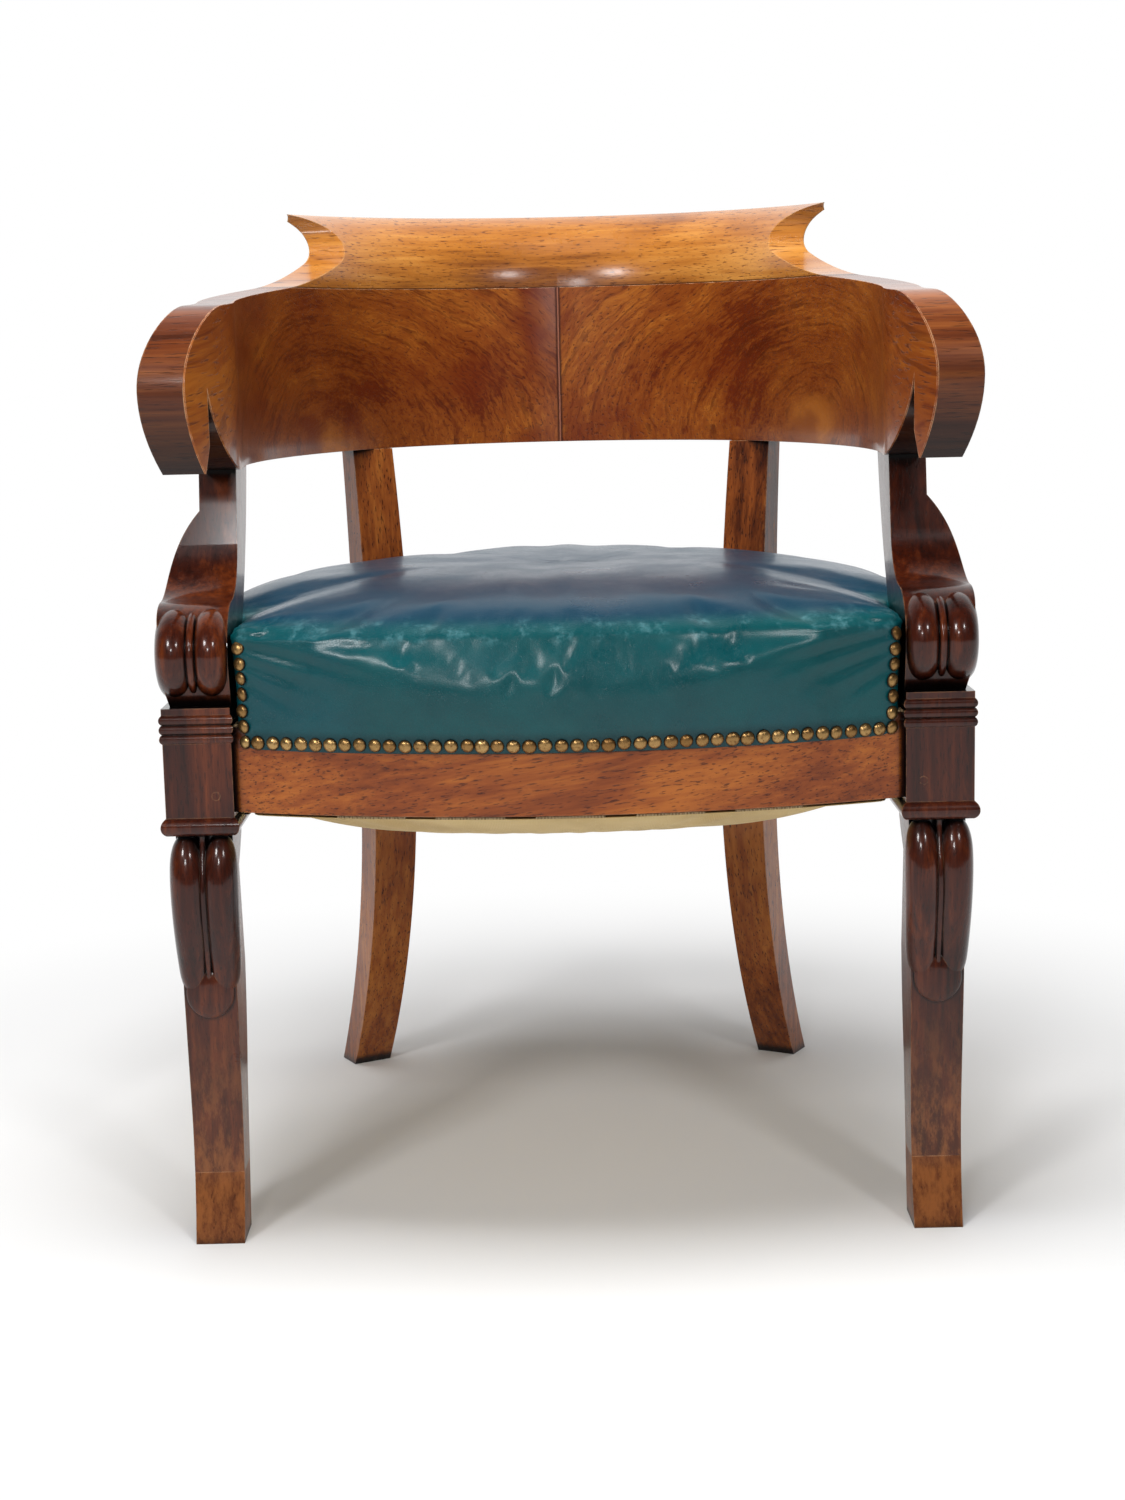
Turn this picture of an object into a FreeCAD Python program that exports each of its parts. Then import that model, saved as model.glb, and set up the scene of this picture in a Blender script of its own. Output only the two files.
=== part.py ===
import FreeCAD, Part
import math
import os
import Sketcher

# Gondola desk armchair: horseshoe back on carved console arms, stuffed leather seat.
# The origin is on the floor under the middle; X runs right, Y runs back, Z runs up.

os.makedirs("parts", exist_ok=True)
doc = FreeCAD.newDocument("gondola_armchair")

# Driving sizes in millimetres and degrees
SIZES = {
    # whole chair
    "front_face": 255.0,
    "rail_bottom": 329.0,
    "rail_top": 392.0,
    "board_bottom": 574.0,
    "board_height": 139.0,
    "crest_height": 65.0,
    # front legs
    "leg_inner": 245.0,
    "block_width": 50.0,
    "block_depth": 55.0,
    "block_top": 407.0,
    "cap_height": 5.0,
    "reed_height": 7.0,
    "reed_round": 4.2,
    "ring_top": 326.0,
    "ring_height": 13.0,
    "ring_round": 7.5,
    "thigh_width": 42.0,
    "shin_width": 39.5,
    "foot_width": 36.5,
    "foot_depth": 40.0,
    "knee_bottom": 192.0,
    "knee_core": 15.0,
    "lobe_radius": 13.2,
    "lobe_reach": 8.5,
    "rib_radius": 2.6,
    "tongue_reach": 4.5,
    "splice_level": 52.0,
    "splice_dowel": 12.0,
    "splice_dowel_length": 22.0,
    "shin_level": 105.0,
    "shin_hollow": 15.0,
    "calf_level": 205.0,
    "calf_depth": 60.0,
    "calf_radius": 420.0,
    "hock_level": 282.0,
    "hock_depth": 44.0,
    "hock_radius": 110.0,
    # console arm supports
    "support_front": 93.0,
    "support_back": 155.0,
    "support_heel": 110.0,
    "support_top_width": 28.0,
    "roll_width": 53.0,
    "roll_radius": 35.5,
    "roll_groove": 12.0,
    "roll_level": 443.5,
    "roll_centre": 25.0,
    # rear legs
    "rear_leg_x": 155.0,
    "rear_leg_y": 400.0,
    "rear_leg_turn": 29.0,
    "rear_leg_width": 42.0,
    "rear_leg_thickness": 30.0,
    "rear_foot_width": 36.0,
    "rear_foot_thickness": 27.0,
    "rear_foot_splay": 72.0,
    "rear_top_width": 38.0,
    "rear_top_thickness": 24.0,
    "rear_top_splay": 24.0,
    "rear_waist_level": 290.0,
    # curved back and arms
    "back_depth": 502.0,
    "back_radius": 210.0,
    "back_angle": 60.0,
    "arm_radius": 475.0,
    "arm_angle": 97.0,
    "flare_radius": 172.0,
    "flare_angle": 44.0,
    "board_thickness": 28.0,
    "veneer_thickness": 1.2,
    "hook_front": 8.0,
    "hook_rise": 60.0,
    "hook_upper_radius": 61.0,
    "hook_slot": 17.0,
    "hook_tip": 11.0,
    "slot_height": 62.0,
    "slot_radius": 78.0,
    "scoop_start": 300.0,
    "scoop_start_rise": -1.0,
    "scoop_turn": 395.0,
    "scoop_turn_rise": 22.0,
    "ear_neck": 417.0,
    "ear_neck_rise": 47.0,
    "ear_tip": 403.0,
    "crest_roll": 50.0,
    "crest_edge": 6.0,
    # seat rails
    "rail_thickness": 28.0,
    "bow_reach": 38.0,
    "bow_radius": 704.0,
    "rail_veneer": 2.0,
    "side_rail_front": 290.0,
    "side_rail_radius": 708.0,
    "back_rail_radius": 266.0,
    "corner_block_size": 46.0,
    "corner_block_height": 40.0,
    # joints
    "tenon_thickness": 10.0,
    "tenon_length": 17.0,
    "tenon_shoulder": 6.0,
    "post_tenon": 20.0,
    "joint_clearance": 0.15,
    "peg_radius": 3.0,
    # upholstery
    "leather_thickness": 1.6,
    "soft_clearance": 0.3,
    "cover_bottom": 375.0,
    "ridge_level": 463.0,
    "crown_level": 484.0,
    "seat_bulge": 7.0,
    "nail_radius": 5.2,
    "nail_dome": 3.0,
    "nail_pitch": 11.2,
    "nail_level": 381.0,
    "hessian_thickness": 1.5,
    "strap_pitch_across": 72.0,
    "strap_pitch_along": 80.0,
    "strap_first": 95.0,
    "strap_width": 50.0,
    "strap_thickness": 1.5,
    "spring_radius": 31.0,
    "spring_wire": 1.7,
    "spring_turns": 5.0,
    "spring_waist": 0.25,
    "spring_row_front": 150.0,
    "spring_row_middle": 230.0,
    "spring_row_back": 320.0,
    "spring_spread_front": 115.0,
    "spring_spread_back": 90.0,
    "dust_rim": 26.0,
    "dust_sag": 46.0,
    "dust_thickness": 1.0,
    "tack_radius": 3.0,
    "tack_pitch": 38.0,
}

sheet = doc.addObject("Spreadsheet::Sheet", "Sizes")
for row, (name, number) in enumerate(SIZES.items(), 1):
    sheet.set(f"A{row}", name)
    sheet.set(f"B{row}", str(number))
    sheet.setAlias(f"B{row}", name)
doc.recompute()


class Size:
    """A number and the sheet formula that gives it."""

    def __init__(self, value, text):
        self.value = value
        self.text = text

    def __add__(self, other):
        other = as_size(other)
        return Size(self.value + other.value, f"({self.text} + {other.text})")

    def __sub__(self, other):
        other = as_size(other)
        return Size(self.value - other.value, f"({self.text} - {other.text})")

    def __mul__(self, other):
        other = as_size(other)
        return Size(self.value * other.value, f"({self.text} * {other.text})")

    def __truediv__(self, other):
        other = as_size(other)
        return Size(self.value / other.value, f"({self.text} / {other.text})")

    def __radd__(self, other):
        return as_size(other) + self

    def __rsub__(self, other):
        return as_size(other) - self

    def __rmul__(self, other):
        return as_size(other) * self

    def __neg__(self):
        return as_size(0) - self


def as_size(number):
    if isinstance(number, Size):
        return number
    return Size(float(number), repr(float(number)))


def sine(angle):
    return Size(math.sin(math.radians(angle.value)), f"sin({angle.text})")


def cosine(angle):
    return Size(math.cos(math.radians(angle.value)), f"cos({angle.text})")


class Sheet:
    """Every cell of the sheet as an attribute."""

    def __getattr__(self, name):
        return Size(float(sheet.get(name)), "Sizes." + name)


S = Sheet()
pieces = []


def bind(thing, prop, number):
    """Tie one property of an object to the sheet."""
    number = as_size(number)
    if "Sizes." in number.text:
        thing.setExpression(prop, number.text)
    else:
        thing.setExpression(prop, None)
        setattr(thing, prop, number.value)


def place(thing, x=0, y=0, z=0):
    """Tie the position of an object to the sheet."""
    for axis, number in (("x", x), ("y", y), ("z", z)):
        thing.setExpression("Placement.Base." + axis, as_size(number).text)


def keep(thing, label):
    """Name a finished piece and list it for writing."""
    thing.Label = label
    pieces.append(thing)
    return thing


def mirrored(thing, label):
    """The other hand of a finished piece."""
    other = doc.addObject("Part::Mirroring", label)
    other.Source = thing
    other.Normal = FreeCAD.Vector(1, 0, 0)
    return keep(other, label)


def pair(thing, label):
    """Keep a right-hand piece and its left-hand twin."""
    keep(thing, label + "_right")
    mirrored(thing, label + "_left")
    return thing


# Sketches: loops of corners, each with the bend of the stretch that leaves it
def flat(corner):
    return FreeCAD.Vector(as_size(corner[0]).value, as_size(corner[1]).value, 0)


def arc_middle(start, end, bend, heading):
    """Middle point of a bent stretch and its heading at the end."""
    chord = end - start
    half = chord.Length / 2
    right = FreeCAD.Vector(chord.y, -chord.x, 0).normalize()
    if bend == "smooth":
        turn = math.atan2(heading.x * chord.y - heading.y * chord.x, heading.dot(chord))
    else:
        radius, side = as_size(bend[0]).value, bend[1]
        turn = -side * math.asin(half / radius)
    middle = (start + end) * 0.5 + right * (half * math.tan(turn / 2))
    leave = FreeCAD.Rotation(FreeCAD.Vector(0, 0, 1), math.degrees(turn)).multVec(chord)
    return middle, leave


def draw(sk, loop, closed=True):
    """Lines and arcs through the corners; every corner is dimensioned from the sheet."""
    count = len(loop) if closed else len(loop) - 1
    heading = None
    stretches = []
    for i in range(count):
        start, end = flat(loop[i]), flat(loop[(i + 1) % len(loop)])
        bend = loop[i][2] if len(loop[i]) > 2 else None
        if bend is None:
            number = sk.addGeometry(Part.LineSegment(start, end))
            heading = end - start
        else:
            middle, heading = arc_middle(start, end, bend, heading)
            number = sk.addGeometry(Part.Arc(start, middle, end))
        first = 1 if sk.getPoint(number, 1).distanceToPoint(start) < 1e-4 else 2
        stretches.append((number, first, 3 - first, bend))
    for i, (number, first, last, bend) in enumerate(stretches):
        if i or closed:
            before = stretches[i - 1]
            kind = "Tangent" if bend == "smooth" else "Coincident"
            sk.addConstraint(Sketcher.Constraint(kind, before[0], before[2], number, first))
        dimension(sk, number, first, loop[i])
        if bend not in (None, "smooth"):
            radius = as_size(bend[0])
            spot = sk.addConstraint(Sketcher.Constraint("Radius", number, radius.value))
            tie(sk, spot, radius)
    if not closed:
        dimension(sk, stretches[-1][0], stretches[-1][2], loop[-1])


def dimension(sk, number, vertex, corner):
    for kind, length in zip(("DistanceX", "DistanceY"), corner[:2]):
        length = as_size(length)
        spot = sk.addConstraint(Sketcher.Constraint(kind, -1, 1, number, vertex, length.value))
        tie(sk, spot, length)


def tie(sk, spot, length):
    if "Sizes." in length.text:
        sk.setExpression(f"Constraints[{spot}]", length.text)


def sketch(body, name, role, loops, level=None, closed=True):
    """A sketch on one of the body's own origin planes."""
    plane = [item for item in body.Origin.OriginFeatures if item.Role == role][0]
    sk = body.newObject("Sketcher::SketchObject", name)
    sk.AttachmentSupport = [(plane, "")]
    sk.MapMode = "FlatFace"
    if level is not None:
        sk.setExpression("AttachmentOffset.Base.z", as_size(level).text)
    for loop in loops:
        draw(sk, loop, closed)
    return sk


def new_body(name):
    return doc.addObject("PartDesign::Body", name)


def pad(body, name, sk, length, midplane=False):
    feature = body.newObject("PartDesign::Pad", name)
    feature.Profile = sk
    feature.Midplane = midplane
    bind(feature, "Length", length)
    doc.recompute()
    return feature


def saw(body, name, role, outline):
    """Saw away everything outside an outline, right through the piece."""
    far = 1500
    frame = [(-far, -far), (far, -far), (far, far), (-far, far)]
    feature = body.newObject("PartDesign::Pocket", name)
    feature.Profile = sketch(body, name + "_outline", role, [frame, outline])
    feature.Type = 1
    feature.Midplane = True
    doc.recompute()
    return feature


def box(name, x, y, z):
    """A block between two values on each axis."""
    thing = doc.addObject("Part::Box", name)
    for prop, span in (("Length", x), ("Width", y), ("Height", z)):
        bind(thing, prop, as_size(span[1]) - span[0])
    place(thing, x[0], y[0], z[0])
    return thing


def rod(name, radius, length, start, axis, turn):
    """A round rod from a start point, its own axis turned by an angle about the given axis."""
    thing = doc.addObject("Part::Cylinder", name)
    bind(thing, "Radius", radius)
    bind(thing, "Height", length)
    thing.Placement.Rotation = FreeCAD.Rotation(FreeCAD.Vector(*axis), turn)
    place(thing, *start)
    return thing


def cut(name, base, tools):
    for i, tool in enumerate(tools):
        result = doc.addObject("Part::Cut", f"{name}_cut{i}")
        result.Base, result.Tool = base, tool
        base = result
    doc.recompute()
    return base


def fuse(name, things):
    result = doc.addObject("Part::MultiFuse", name)
    result.Shapes = things
    doc.recompute()
    return result


def grown(span, gap):
    return (as_size(span[0]) - gap, as_size(span[1]) + gap)


# Places shared by several pieces
F = -S.front_face
LEG_MIDDLE = S.leg_inner + S.block_width / 2
TENON_LOW = S.rail_bottom + S.tenon_shoulder
TENON_HIGH = S.rail_top - S.tenon_shoulder
REAR_Y = F + S.rear_leg_y
SEAM = S.board_bottom + S.board_height
CREST_TOP = SEAM + S.crest_height


def rear_point(across, out):
    """A point of the turned rear leg: across its width, and out from its front face."""
    x = S.rear_leg_x + cosine(S.rear_leg_turn) * across + sine(S.rear_leg_turn) * out
    y = REAR_Y - sine(S.rear_leg_turn) * across + cosine(S.rear_leg_turn) * out
    return x, y


def rear_box(name, across, out, z):
    """A block lined up with the turned rear leg."""
    thing = doc.addObject("Part::Box", name)
    for prop, span in (("Length", across), ("Width", out), ("Height", z)):
        bind(thing, prop, as_size(span[1]) - span[0])
    thing.Placement.Rotation = FreeCAD.Rotation(FreeCAD.Vector(0, 0, 1), -1)
    thing.setExpression("Placement.Rotation.Angle", "-1 * Sizes.rear_leg_turn")
    x, y = rear_point(as_size(across[0]), as_size(out[0]))
    place(thing, x, y, z[0])
    return thing


# Tenons: the spans are shared by the tenon and by its mortise
FRONT_TENON = ((S.leg_inner, S.leg_inner + 1.5 * S.tenon_length),
               (F + 13, F + 13 + S.tenon_thickness), (TENON_LOW, TENON_HIGH))
SIDE_X = S.side_rail_front - S.rail_thickness / 2
SIDE_TENON = ((SIDE_X - S.tenon_thickness / 2, SIDE_X + S.tenon_thickness / 2),
              (F + S.block_depth - S.tenon_length, F + S.block_depth), (TENON_LOW, TENON_HIGH))
POST_TENON = ((LEG_MIDDLE - S.tenon_thickness, LEG_MIDDLE + S.tenon_thickness),
              (F + 18, F + 40), (S.block_top - S.post_tenon, S.block_top))
ARM_MIDDLE = S.leg_inner + S.support_top_width / 2
ARM_TENON = ((ARM_MIDDLE - S.tenon_thickness / 2, ARM_MIDDLE + S.tenon_thickness / 2),
             (F + S.support_front + 12, F + S.support_back - 12),
             (S.board_bottom, S.board_bottom + S.post_tenon))
REAR_SPAN = ((S.rear_leg_thickness - S.tenon_thickness) / 2, (S.rear_leg_thickness + S.tenon_thickness) / 2)
REAR_SIDE_TENON = ((S.rear_leg_width / 2 - S.tenon_length, S.rear_leg_width / 2), REAR_SPAN,
                   (TENON_LOW, TENON_HIGH))
REAR_BACK_TENON = ((-S.rear_leg_width / 2, S.tenon_length - S.rear_leg_width / 2), REAR_SPAN,
                   (TENON_LOW, TENON_HIGH))
STILE_OUT = S.rear_top_splay + S.rear_top_thickness / 2
STILE_TENON = ((-S.rear_top_width / 3, S.rear_top_width / 3),
               (STILE_OUT - S.tenon_thickness / 2, STILE_OUT + S.tenon_thickness / 2),
               (S.board_bottom, S.board_bottom + S.post_tenon))


def mortise(name, spans, make=box):
    return make(name, *[grown(span, S.joint_clearance) for span in spans])


# Pegs that pin the tenons, one to each joint
PEG_Z = S.rail_bottom + 13
PEG_SIDE_Z = (S.rail_bottom + S.rail_top) / 2


def peg_rods():
    front_x = S.leg_inner + 0.75 * S.tenon_length
    side_y = F + S.block_depth - S.tenon_length / 2
    through = S.rear_leg_thickness
    rods = [rod("peg_front", S.peg_radius, 34, (front_x, F, PEG_Z), (1, 0, 0), -90)]
    rods.append(rod("peg_side", S.peg_radius, S.block_width - 8,
                    (S.leg_inner + 8, side_y, PEG_SIDE_Z), (0, 1, 0), 90))
    for name, side in (("peg_rear_side", 1), ("peg_rear_back", -1)):
        across = side * (S.rear_leg_width - S.tenon_length) / 2
        x, y = rear_point(across, as_size(3))
        peg = rod(name, S.peg_radius, through - 3, (x, y, PEG_SIDE_Z), (1, 0, 0), -90)
        turn = FreeCAD.Rotation(FreeCAD.Vector(0, 0, 1), -S.rear_leg_turn.value)
        peg.Placement.Rotation = turn.multiply(FreeCAD.Rotation(FreeCAD.Vector(1, 0, 0), -90))
        place(peg, x, y, PEG_SIDE_Z)
        rods.append(peg)
    return rods


PEGS = peg_rods()


# Front leg: sawn from the side and from the front, then the carved knee is added
def reed_levels():
    first = S.block_top - S.cap_height
    return [first - i * S.reed_height for i in range(4)]


def leg_front_edge(face, sign, low):
    """Block edge with cap, reeds and ring, from the top down; sign is the side the mouldings swell to."""
    levels = reed_levels()
    edge = [(face, S.block_top), (face, levels[0])]
    edge[-1] = (face, levels[0], (S.reed_round, sign))
    edge += [(face, level, (S.reed_round, sign)) for level in levels[1:3]]
    ring_low = S.ring_top - S.ring_height
    edge += [(face, levels[3]), (face, S.ring_top, (S.ring_round, sign)), (face, ring_low)]
    return edge + low


def front_leg():
    body = new_body("front_leg_core")
    ring_low = S.ring_top - S.ring_height
    heel = F + S.block_depth
    shin = [(F + S.knee_core, ring_low), (F + S.knee_core - 5, S.knee_bottom),
            (F + S.shin_hollow, S.shin_level, "smooth"), (F, 0), (F + S.foot_depth, 0),
            (F + S.calf_depth - 9, S.shin_level + 15, (S.calf_radius, -1)), (F + S.calf_depth, S.calf_level),
            (F + S.hock_depth, S.hock_level, (S.hock_radius, -1)), (heel + 6, S.hock_level + 18, (18, -1)),
            (heel, S.rail_bottom), (heel, S.block_top)]
    side = sketch(body, "leg_side", "YZ_Plane", [leg_front_edge(F, -1, shin)])
    pad(body, "leg_blank", side, S.block_width + 30, True)
    half = S.block_width / 2
    right = [(S.thigh_width / 2, ring_low), (S.shin_width / 2, S.knee_bottom), (S.foot_width / 2, 0)]
    left = [(-x, z) for x, z in reversed(right)]
    edge = leg_front_edge(half, 1, right)
    mirror_edge = [(-half, ring_low, (S.ring_round, 1)), (-half, S.ring_top), (-half, reed_levels()[3])]
    mirror_edge[-1] = (-half, reed_levels()[3], (S.reed_round, 1))
    mirror_edge += [(-half, level, (S.reed_round, 1)) for level in reed_levels()[2:0:-1]]
    mirror_edge += [(-half, reed_levels()[0]), (-half, S.block_top)]
    saw(body, "leg_front", "XZ_Plane", edge + left + mirror_edge)
    place(body, LEG_MIDDLE)
    carved = fuse("front_leg_carved", [body] + knee())
    tools = [mortise("front_mortise", FRONT_TENON), mortise("side_mortise", SIDE_TENON),
             mortise("post_mortise", POST_TENON)]
    whole = cut("front_leg", carved, tools + PEGS[:2])
    below = box("below_splice", (S.leg_inner - S.block_width, S.leg_inner + 2 * S.block_width),
                (F - S.block_depth, F + 2 * S.block_depth), (-S.foot_depth, S.splice_level))
    start = (LEG_MIDDLE, F + S.foot_depth / 2 + 4, S.splice_level - 1)
    bore_radius = S.splice_dowel / 2 + S.joint_clearance
    bore = rod("splice_bore", bore_radius, S.splice_dowel_length + 1, start, (0, 0, 1), 0)
    pair(cut("front_leg_upper", whole, [below, bore]), "front_leg")
    foot = doc.addObject("Part::Common", "foot_blank")
    foot.Base, foot.Tool = whole, below
    dowel = rod("splice_dowel", S.splice_dowel / 2, S.splice_dowel_length, start, (0, 0, 1), 0)
    pair(fuse("foot_with_dowel", [foot, dowel]), "foot_tip")


def bud(name, x, steps):
    """A swelling carved lobe: level circles joined by a smooth skin."""
    rings = []
    for i, (level, face, radius) in enumerate(steps):
        ring = doc.addObject("Part::Circle", f"{name}_ring{i}")
        bind(ring, "Radius", radius)
        place(ring, x[0] + (x[1] - x[0]) * (i / (len(steps) - 1)), face + radius, level)
        rings.append(ring)
    doc.recompute()
    skin = doc.addObject("Part::Loft", name)
    skin.Sections = rings
    skin.Solid = True
    return skin


def knee():
    """Two lobes, the rib between them and the half-round tongue under them."""
    top = S.ring_top - S.ring_height
    drop = top - S.knee_bottom
    full = S.lobe_radius
    reach = S.lobe_reach
    lobe = [(top - 0.02 * drop, F + 3, 0.45 * full), (top - 0.1 * drop, F - 0.35 * reach, 0.84 * full),
            (top - 0.24 * drop, F - 0.9 * reach, 0.99 * full), (top - 0.42 * drop, F - reach, full),
            (top - 0.64 * drop, F - 0.5 * reach, 0.97 * full), (top - 0.84 * drop, F + 2, 0.9 * full),
            (top - 0.95 * drop, F + 5, 0.74 * full), (top - drop, F + 8.5, 0.4 * full)]
    things = []
    for name, side in (("lobe_outer", 1), ("lobe_inner", -1)):
        x = (LEG_MIDDLE + side * full * 0.96, LEG_MIDDLE + side * 0.8 * full)
        things.append(bud(name, x, lobe))
    rib = [(top - 0.01 * drop, F + 3, S.rib_radius), (top - 0.1 * drop, F + 1.5, S.rib_radius),
           (top - 0.42 * drop, F + 2.4 - reach, S.rib_radius),
           (top - 0.64 * drop, F + 2.6 - 0.5 * reach, S.rib_radius),
           (top - 0.9 * drop, F + 5, 0.7 * S.rib_radius), (top - drop, F + 8, 0.4 * S.rib_radius)]
    things.append(bud("knee_rib", (LEG_MIDDLE, LEG_MIDDLE), rib))
    tongue = doc.addObject("Part::Ellipsoid", "knee_tongue")
    bind(tongue, "Radius1", 0.48 * S.shin_width)
    bind(tongue, "Radius2", 0.45 * S.shin_width)
    bind(tongue, "Radius3", S.tongue_reach)
    place(tongue, LEG_MIDDLE, F + 8.5, S.knee_bottom)
    return things + [tongue]


def scroll(name, start, width, radius, centre_y):
    """One round-backed scroll of the console's base, turned about its own axis."""
    body = new_body(name + "_core")
    shoulder = radius - width / 2
    end = start + width
    profile = [(start, 0), (start, shoulder, (0.505 * width, 1)), (end, shoulder), (end, 0)]
    turned = body.newObject("PartDesign::Revolution", name + "_turned")
    turned.Profile = sketch(body, name + "_profile", "XY_Plane", [profile])
    turned.ReferenceAxis = (turned.Profile[0], ["H_Axis"])
    doc.recompute()
    place(body, S.leg_inner, centre_y, S.roll_level)
    return body


# Console arm support: sawn both ways, with two scrolls and a rib round its base
def arm_support():
    body = new_body("arm_support_core")
    front, back = F + S.support_front, F + S.support_back
    roll_y = F + S.roll_centre
    roll_top = S.roll_level + S.roll_radius
    core_y = roll_y - S.roll_radius + S.roll_groove
    side = [(front, S.board_bottom), (front - 11, S.board_bottom - 55, "smooth"),
            (roll_y + 12, roll_top + 2, "smooth"),
            (core_y, S.roll_level, "smooth"), (roll_y - 14, S.block_top), (F + S.block_depth, S.block_top),
            (F + S.support_heel, S.crown_level, "smooth"), (back, S.board_bottom)]
    blank = sketch(body, "support_side", "YZ_Plane", [side])
    pad(body, "support_blank", blank, 3 * S.roll_width, True)
    wide, top = S.roll_width, S.support_top_width
    face = [(0, S.block_top), (wide - 8, S.block_top), (wide - 4, S.roll_level - 18),
            (wide - 4, S.roll_level + 12, (95, -1)), (top, S.board_bottom - 30), (top, S.board_bottom),
            (0, S.board_bottom)]
    saw(body, "support_front", "XZ_Plane", face)
    place(body, S.leg_inner)
    things = [body]
    lobe, rib = wide / 2, S.roll_groove / 2
    for name, start, width, radius in (("roll_inner", as_size(0), lobe, S.roll_radius),
                                       ("roll_outer", lobe, lobe, S.roll_radius),
                                       ("roll_rib", lobe - rib / 2, rib, S.roll_radius - rib / 2)):
        things.append(scroll(name, start, width, radius, roll_y))
    floor = box("roll_floor", (S.leg_inner - S.block_width, S.leg_inner + 2 * S.block_width),
                (F - S.block_depth, F + S.block_depth), (S.rail_bottom, S.block_top))
    carved = cut("arm_support_carved", fuse("arm_support_lobes", things), [floor])
    tenons = [box("post_tenon", *POST_TENON), box("arm_tenon", *ARM_TENON)]
    pair(fuse("arm_support_whole", [carved] + tenons), "arm_support")


# Rear leg: one sabre piece from the foot to the back board
def rear_leg():
    body = new_body("rear_leg_core")
    waist = S.rear_waist_level
    thick = S.rear_leg_thickness
    foot, top = S.rear_foot_splay, S.rear_top_splay
    low_radius = (waist * waist + foot * foot) / (2 * foot)
    high = S.board_bottom - waist
    high_radius = (high * high + top * top) / (2 * top)
    foot_back = foot + S.rear_foot_thickness - thick
    top_back = top + S.rear_top_thickness - thick
    low_back = (waist * waist + foot_back * foot_back) / (2 * foot_back)
    high_back = (high * high + top_back * top_back) / (2 * top_back)
    side = [(foot, 0), (foot + S.rear_foot_thickness, 0, (low_back, 1)), (thick, waist, (high_back, 1)),
            (top + S.rear_top_thickness, S.board_bottom), (top, S.board_bottom, (high_radius, -1)),
            (0, waist, (low_radius, -1))]
    pad(body, "rear_blank", sketch(body, "rear_side", "YZ_Plane", [side]), S.rear_leg_width + 20, True)
    half, foot_half, top_half = S.rear_leg_width / 2, S.rear_foot_width / 2, S.rear_top_width / 2
    right = [(foot_half, 0), (half, S.rail_bottom), (half, S.rail_top), (top_half, S.board_bottom)]
    face = right + [(-x, z) for x, z in reversed(right)]
    saw(body, "rear_face", "XZ_Plane", face)
    body.Placement.Rotation = FreeCAD.Rotation(FreeCAD.Vector(0, 0, 1), -1)
    body.setExpression("Placement.Rotation.Angle", "-1 * Sizes.rear_leg_turn")
    place(body, S.rear_leg_x, REAR_Y, 0)
    whole = fuse("rear_leg_tenoned", [body, rear_box("stile_tenon", *STILE_TENON)])
    tools = [mortise("rear_side_mortise", REAR_SIDE_TENON, rear_box),
             mortise("rear_back_mortise", REAR_BACK_TENON, rear_box)]
    pair(cut("rear_leg", whole, tools + PEGS[2:]), "rear_leg")


# Plan of the back: back arc, arm arc and outward flare, all at an offset from the inner face
def normal(angle):
    return sine(angle), cosine(angle)


def plan_points(offset):
    """Corners of the plan at an offset out from the inner face, with the three arc radii."""
    one, two, three = normal(S.back_angle), normal(S.arm_angle), normal(S.flare_angle)
    back_y = F + S.back_depth - S.back_radius
    first = (S.back_radius * one[0], back_y + S.back_radius * one[1])
    arm = (first[0] - S.arm_radius * one[0], first[1] - S.arm_radius * one[1])
    second = (arm[0] + S.arm_radius * two[0], arm[1] + S.arm_radius * two[1])
    flare = (second[0] + S.flare_radius * two[0], second[1] + S.flare_radius * two[1])
    start = (as_size(0), F + S.back_depth + offset)
    corners = [start]
    for centre, reach, way in (((as_size(0), back_y), S.back_radius + offset, one),
                               (arm, S.arm_radius + offset, two), (flare, offset - S.flare_radius, three)):
        corners.append((centre[0] + reach * way[0], centre[1] + reach * way[1]))
    return corners, (S.back_radius + offset, S.arm_radius + offset, S.flare_radius - offset)


def plan_strip(inside, outside):
    """Closed plan of a half back between two offsets."""
    near, near_radii = plan_points(inside)
    far, far_radii = plan_points(outside)
    there = [(*near[i], (near_radii[i], side)) for i, side in enumerate((1, 1, -1))] + [near[3]]
    back = [(*far[i + 1], (far_radii[i], -side)) for i, side in enumerate((1, 1, -1))]
    return there + back[::-1] + [far[0]]


def elevation():
    """Side view of the back: hook with its slot, arm top, scoop and ear."""
    tip_y, tip_z = F + S.hook_tip, S.board_bottom + S.crest_edge / 6
    fore_y, fore_z = F - S.hook_front, S.board_bottom + S.hook_rise
    low_y, low_z = S.hook_tip + S.hook_front, fore_z - tip_z
    low_radius = (low_y * low_y + low_z * low_z) / (2 * low_y)
    up = S.hook_upper_radius
    top_y, top_z = fore_y + 0.95 * up, fore_z + 0.99875 * up
    far, above = F + 2 * S.back_depth, CREST_TOP + 1
    return [(far, S.board_bottom), (F + S.support_front, S.board_bottom, (S.slot_radius, 1)),
            (F + S.hook_slot, S.board_bottom + S.slot_height),
            (F + S.hook_slot, S.board_bottom + S.slot_height / 3),
            (tip_y, tip_z, (low_radius, 1)), (fore_y, fore_z, (up, 1)), (top_y, top_z, "smooth"),
            (F + S.scoop_start, SEAM + S.scoop_start_rise, "smooth"),
            (F + S.scoop_turn, SEAM + S.scoop_turn_rise, "smooth"),
            (F + S.ear_neck, SEAM + S.ear_neck_rise, "smooth"), (F + S.ear_tip, above), (far, above)]


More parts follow.
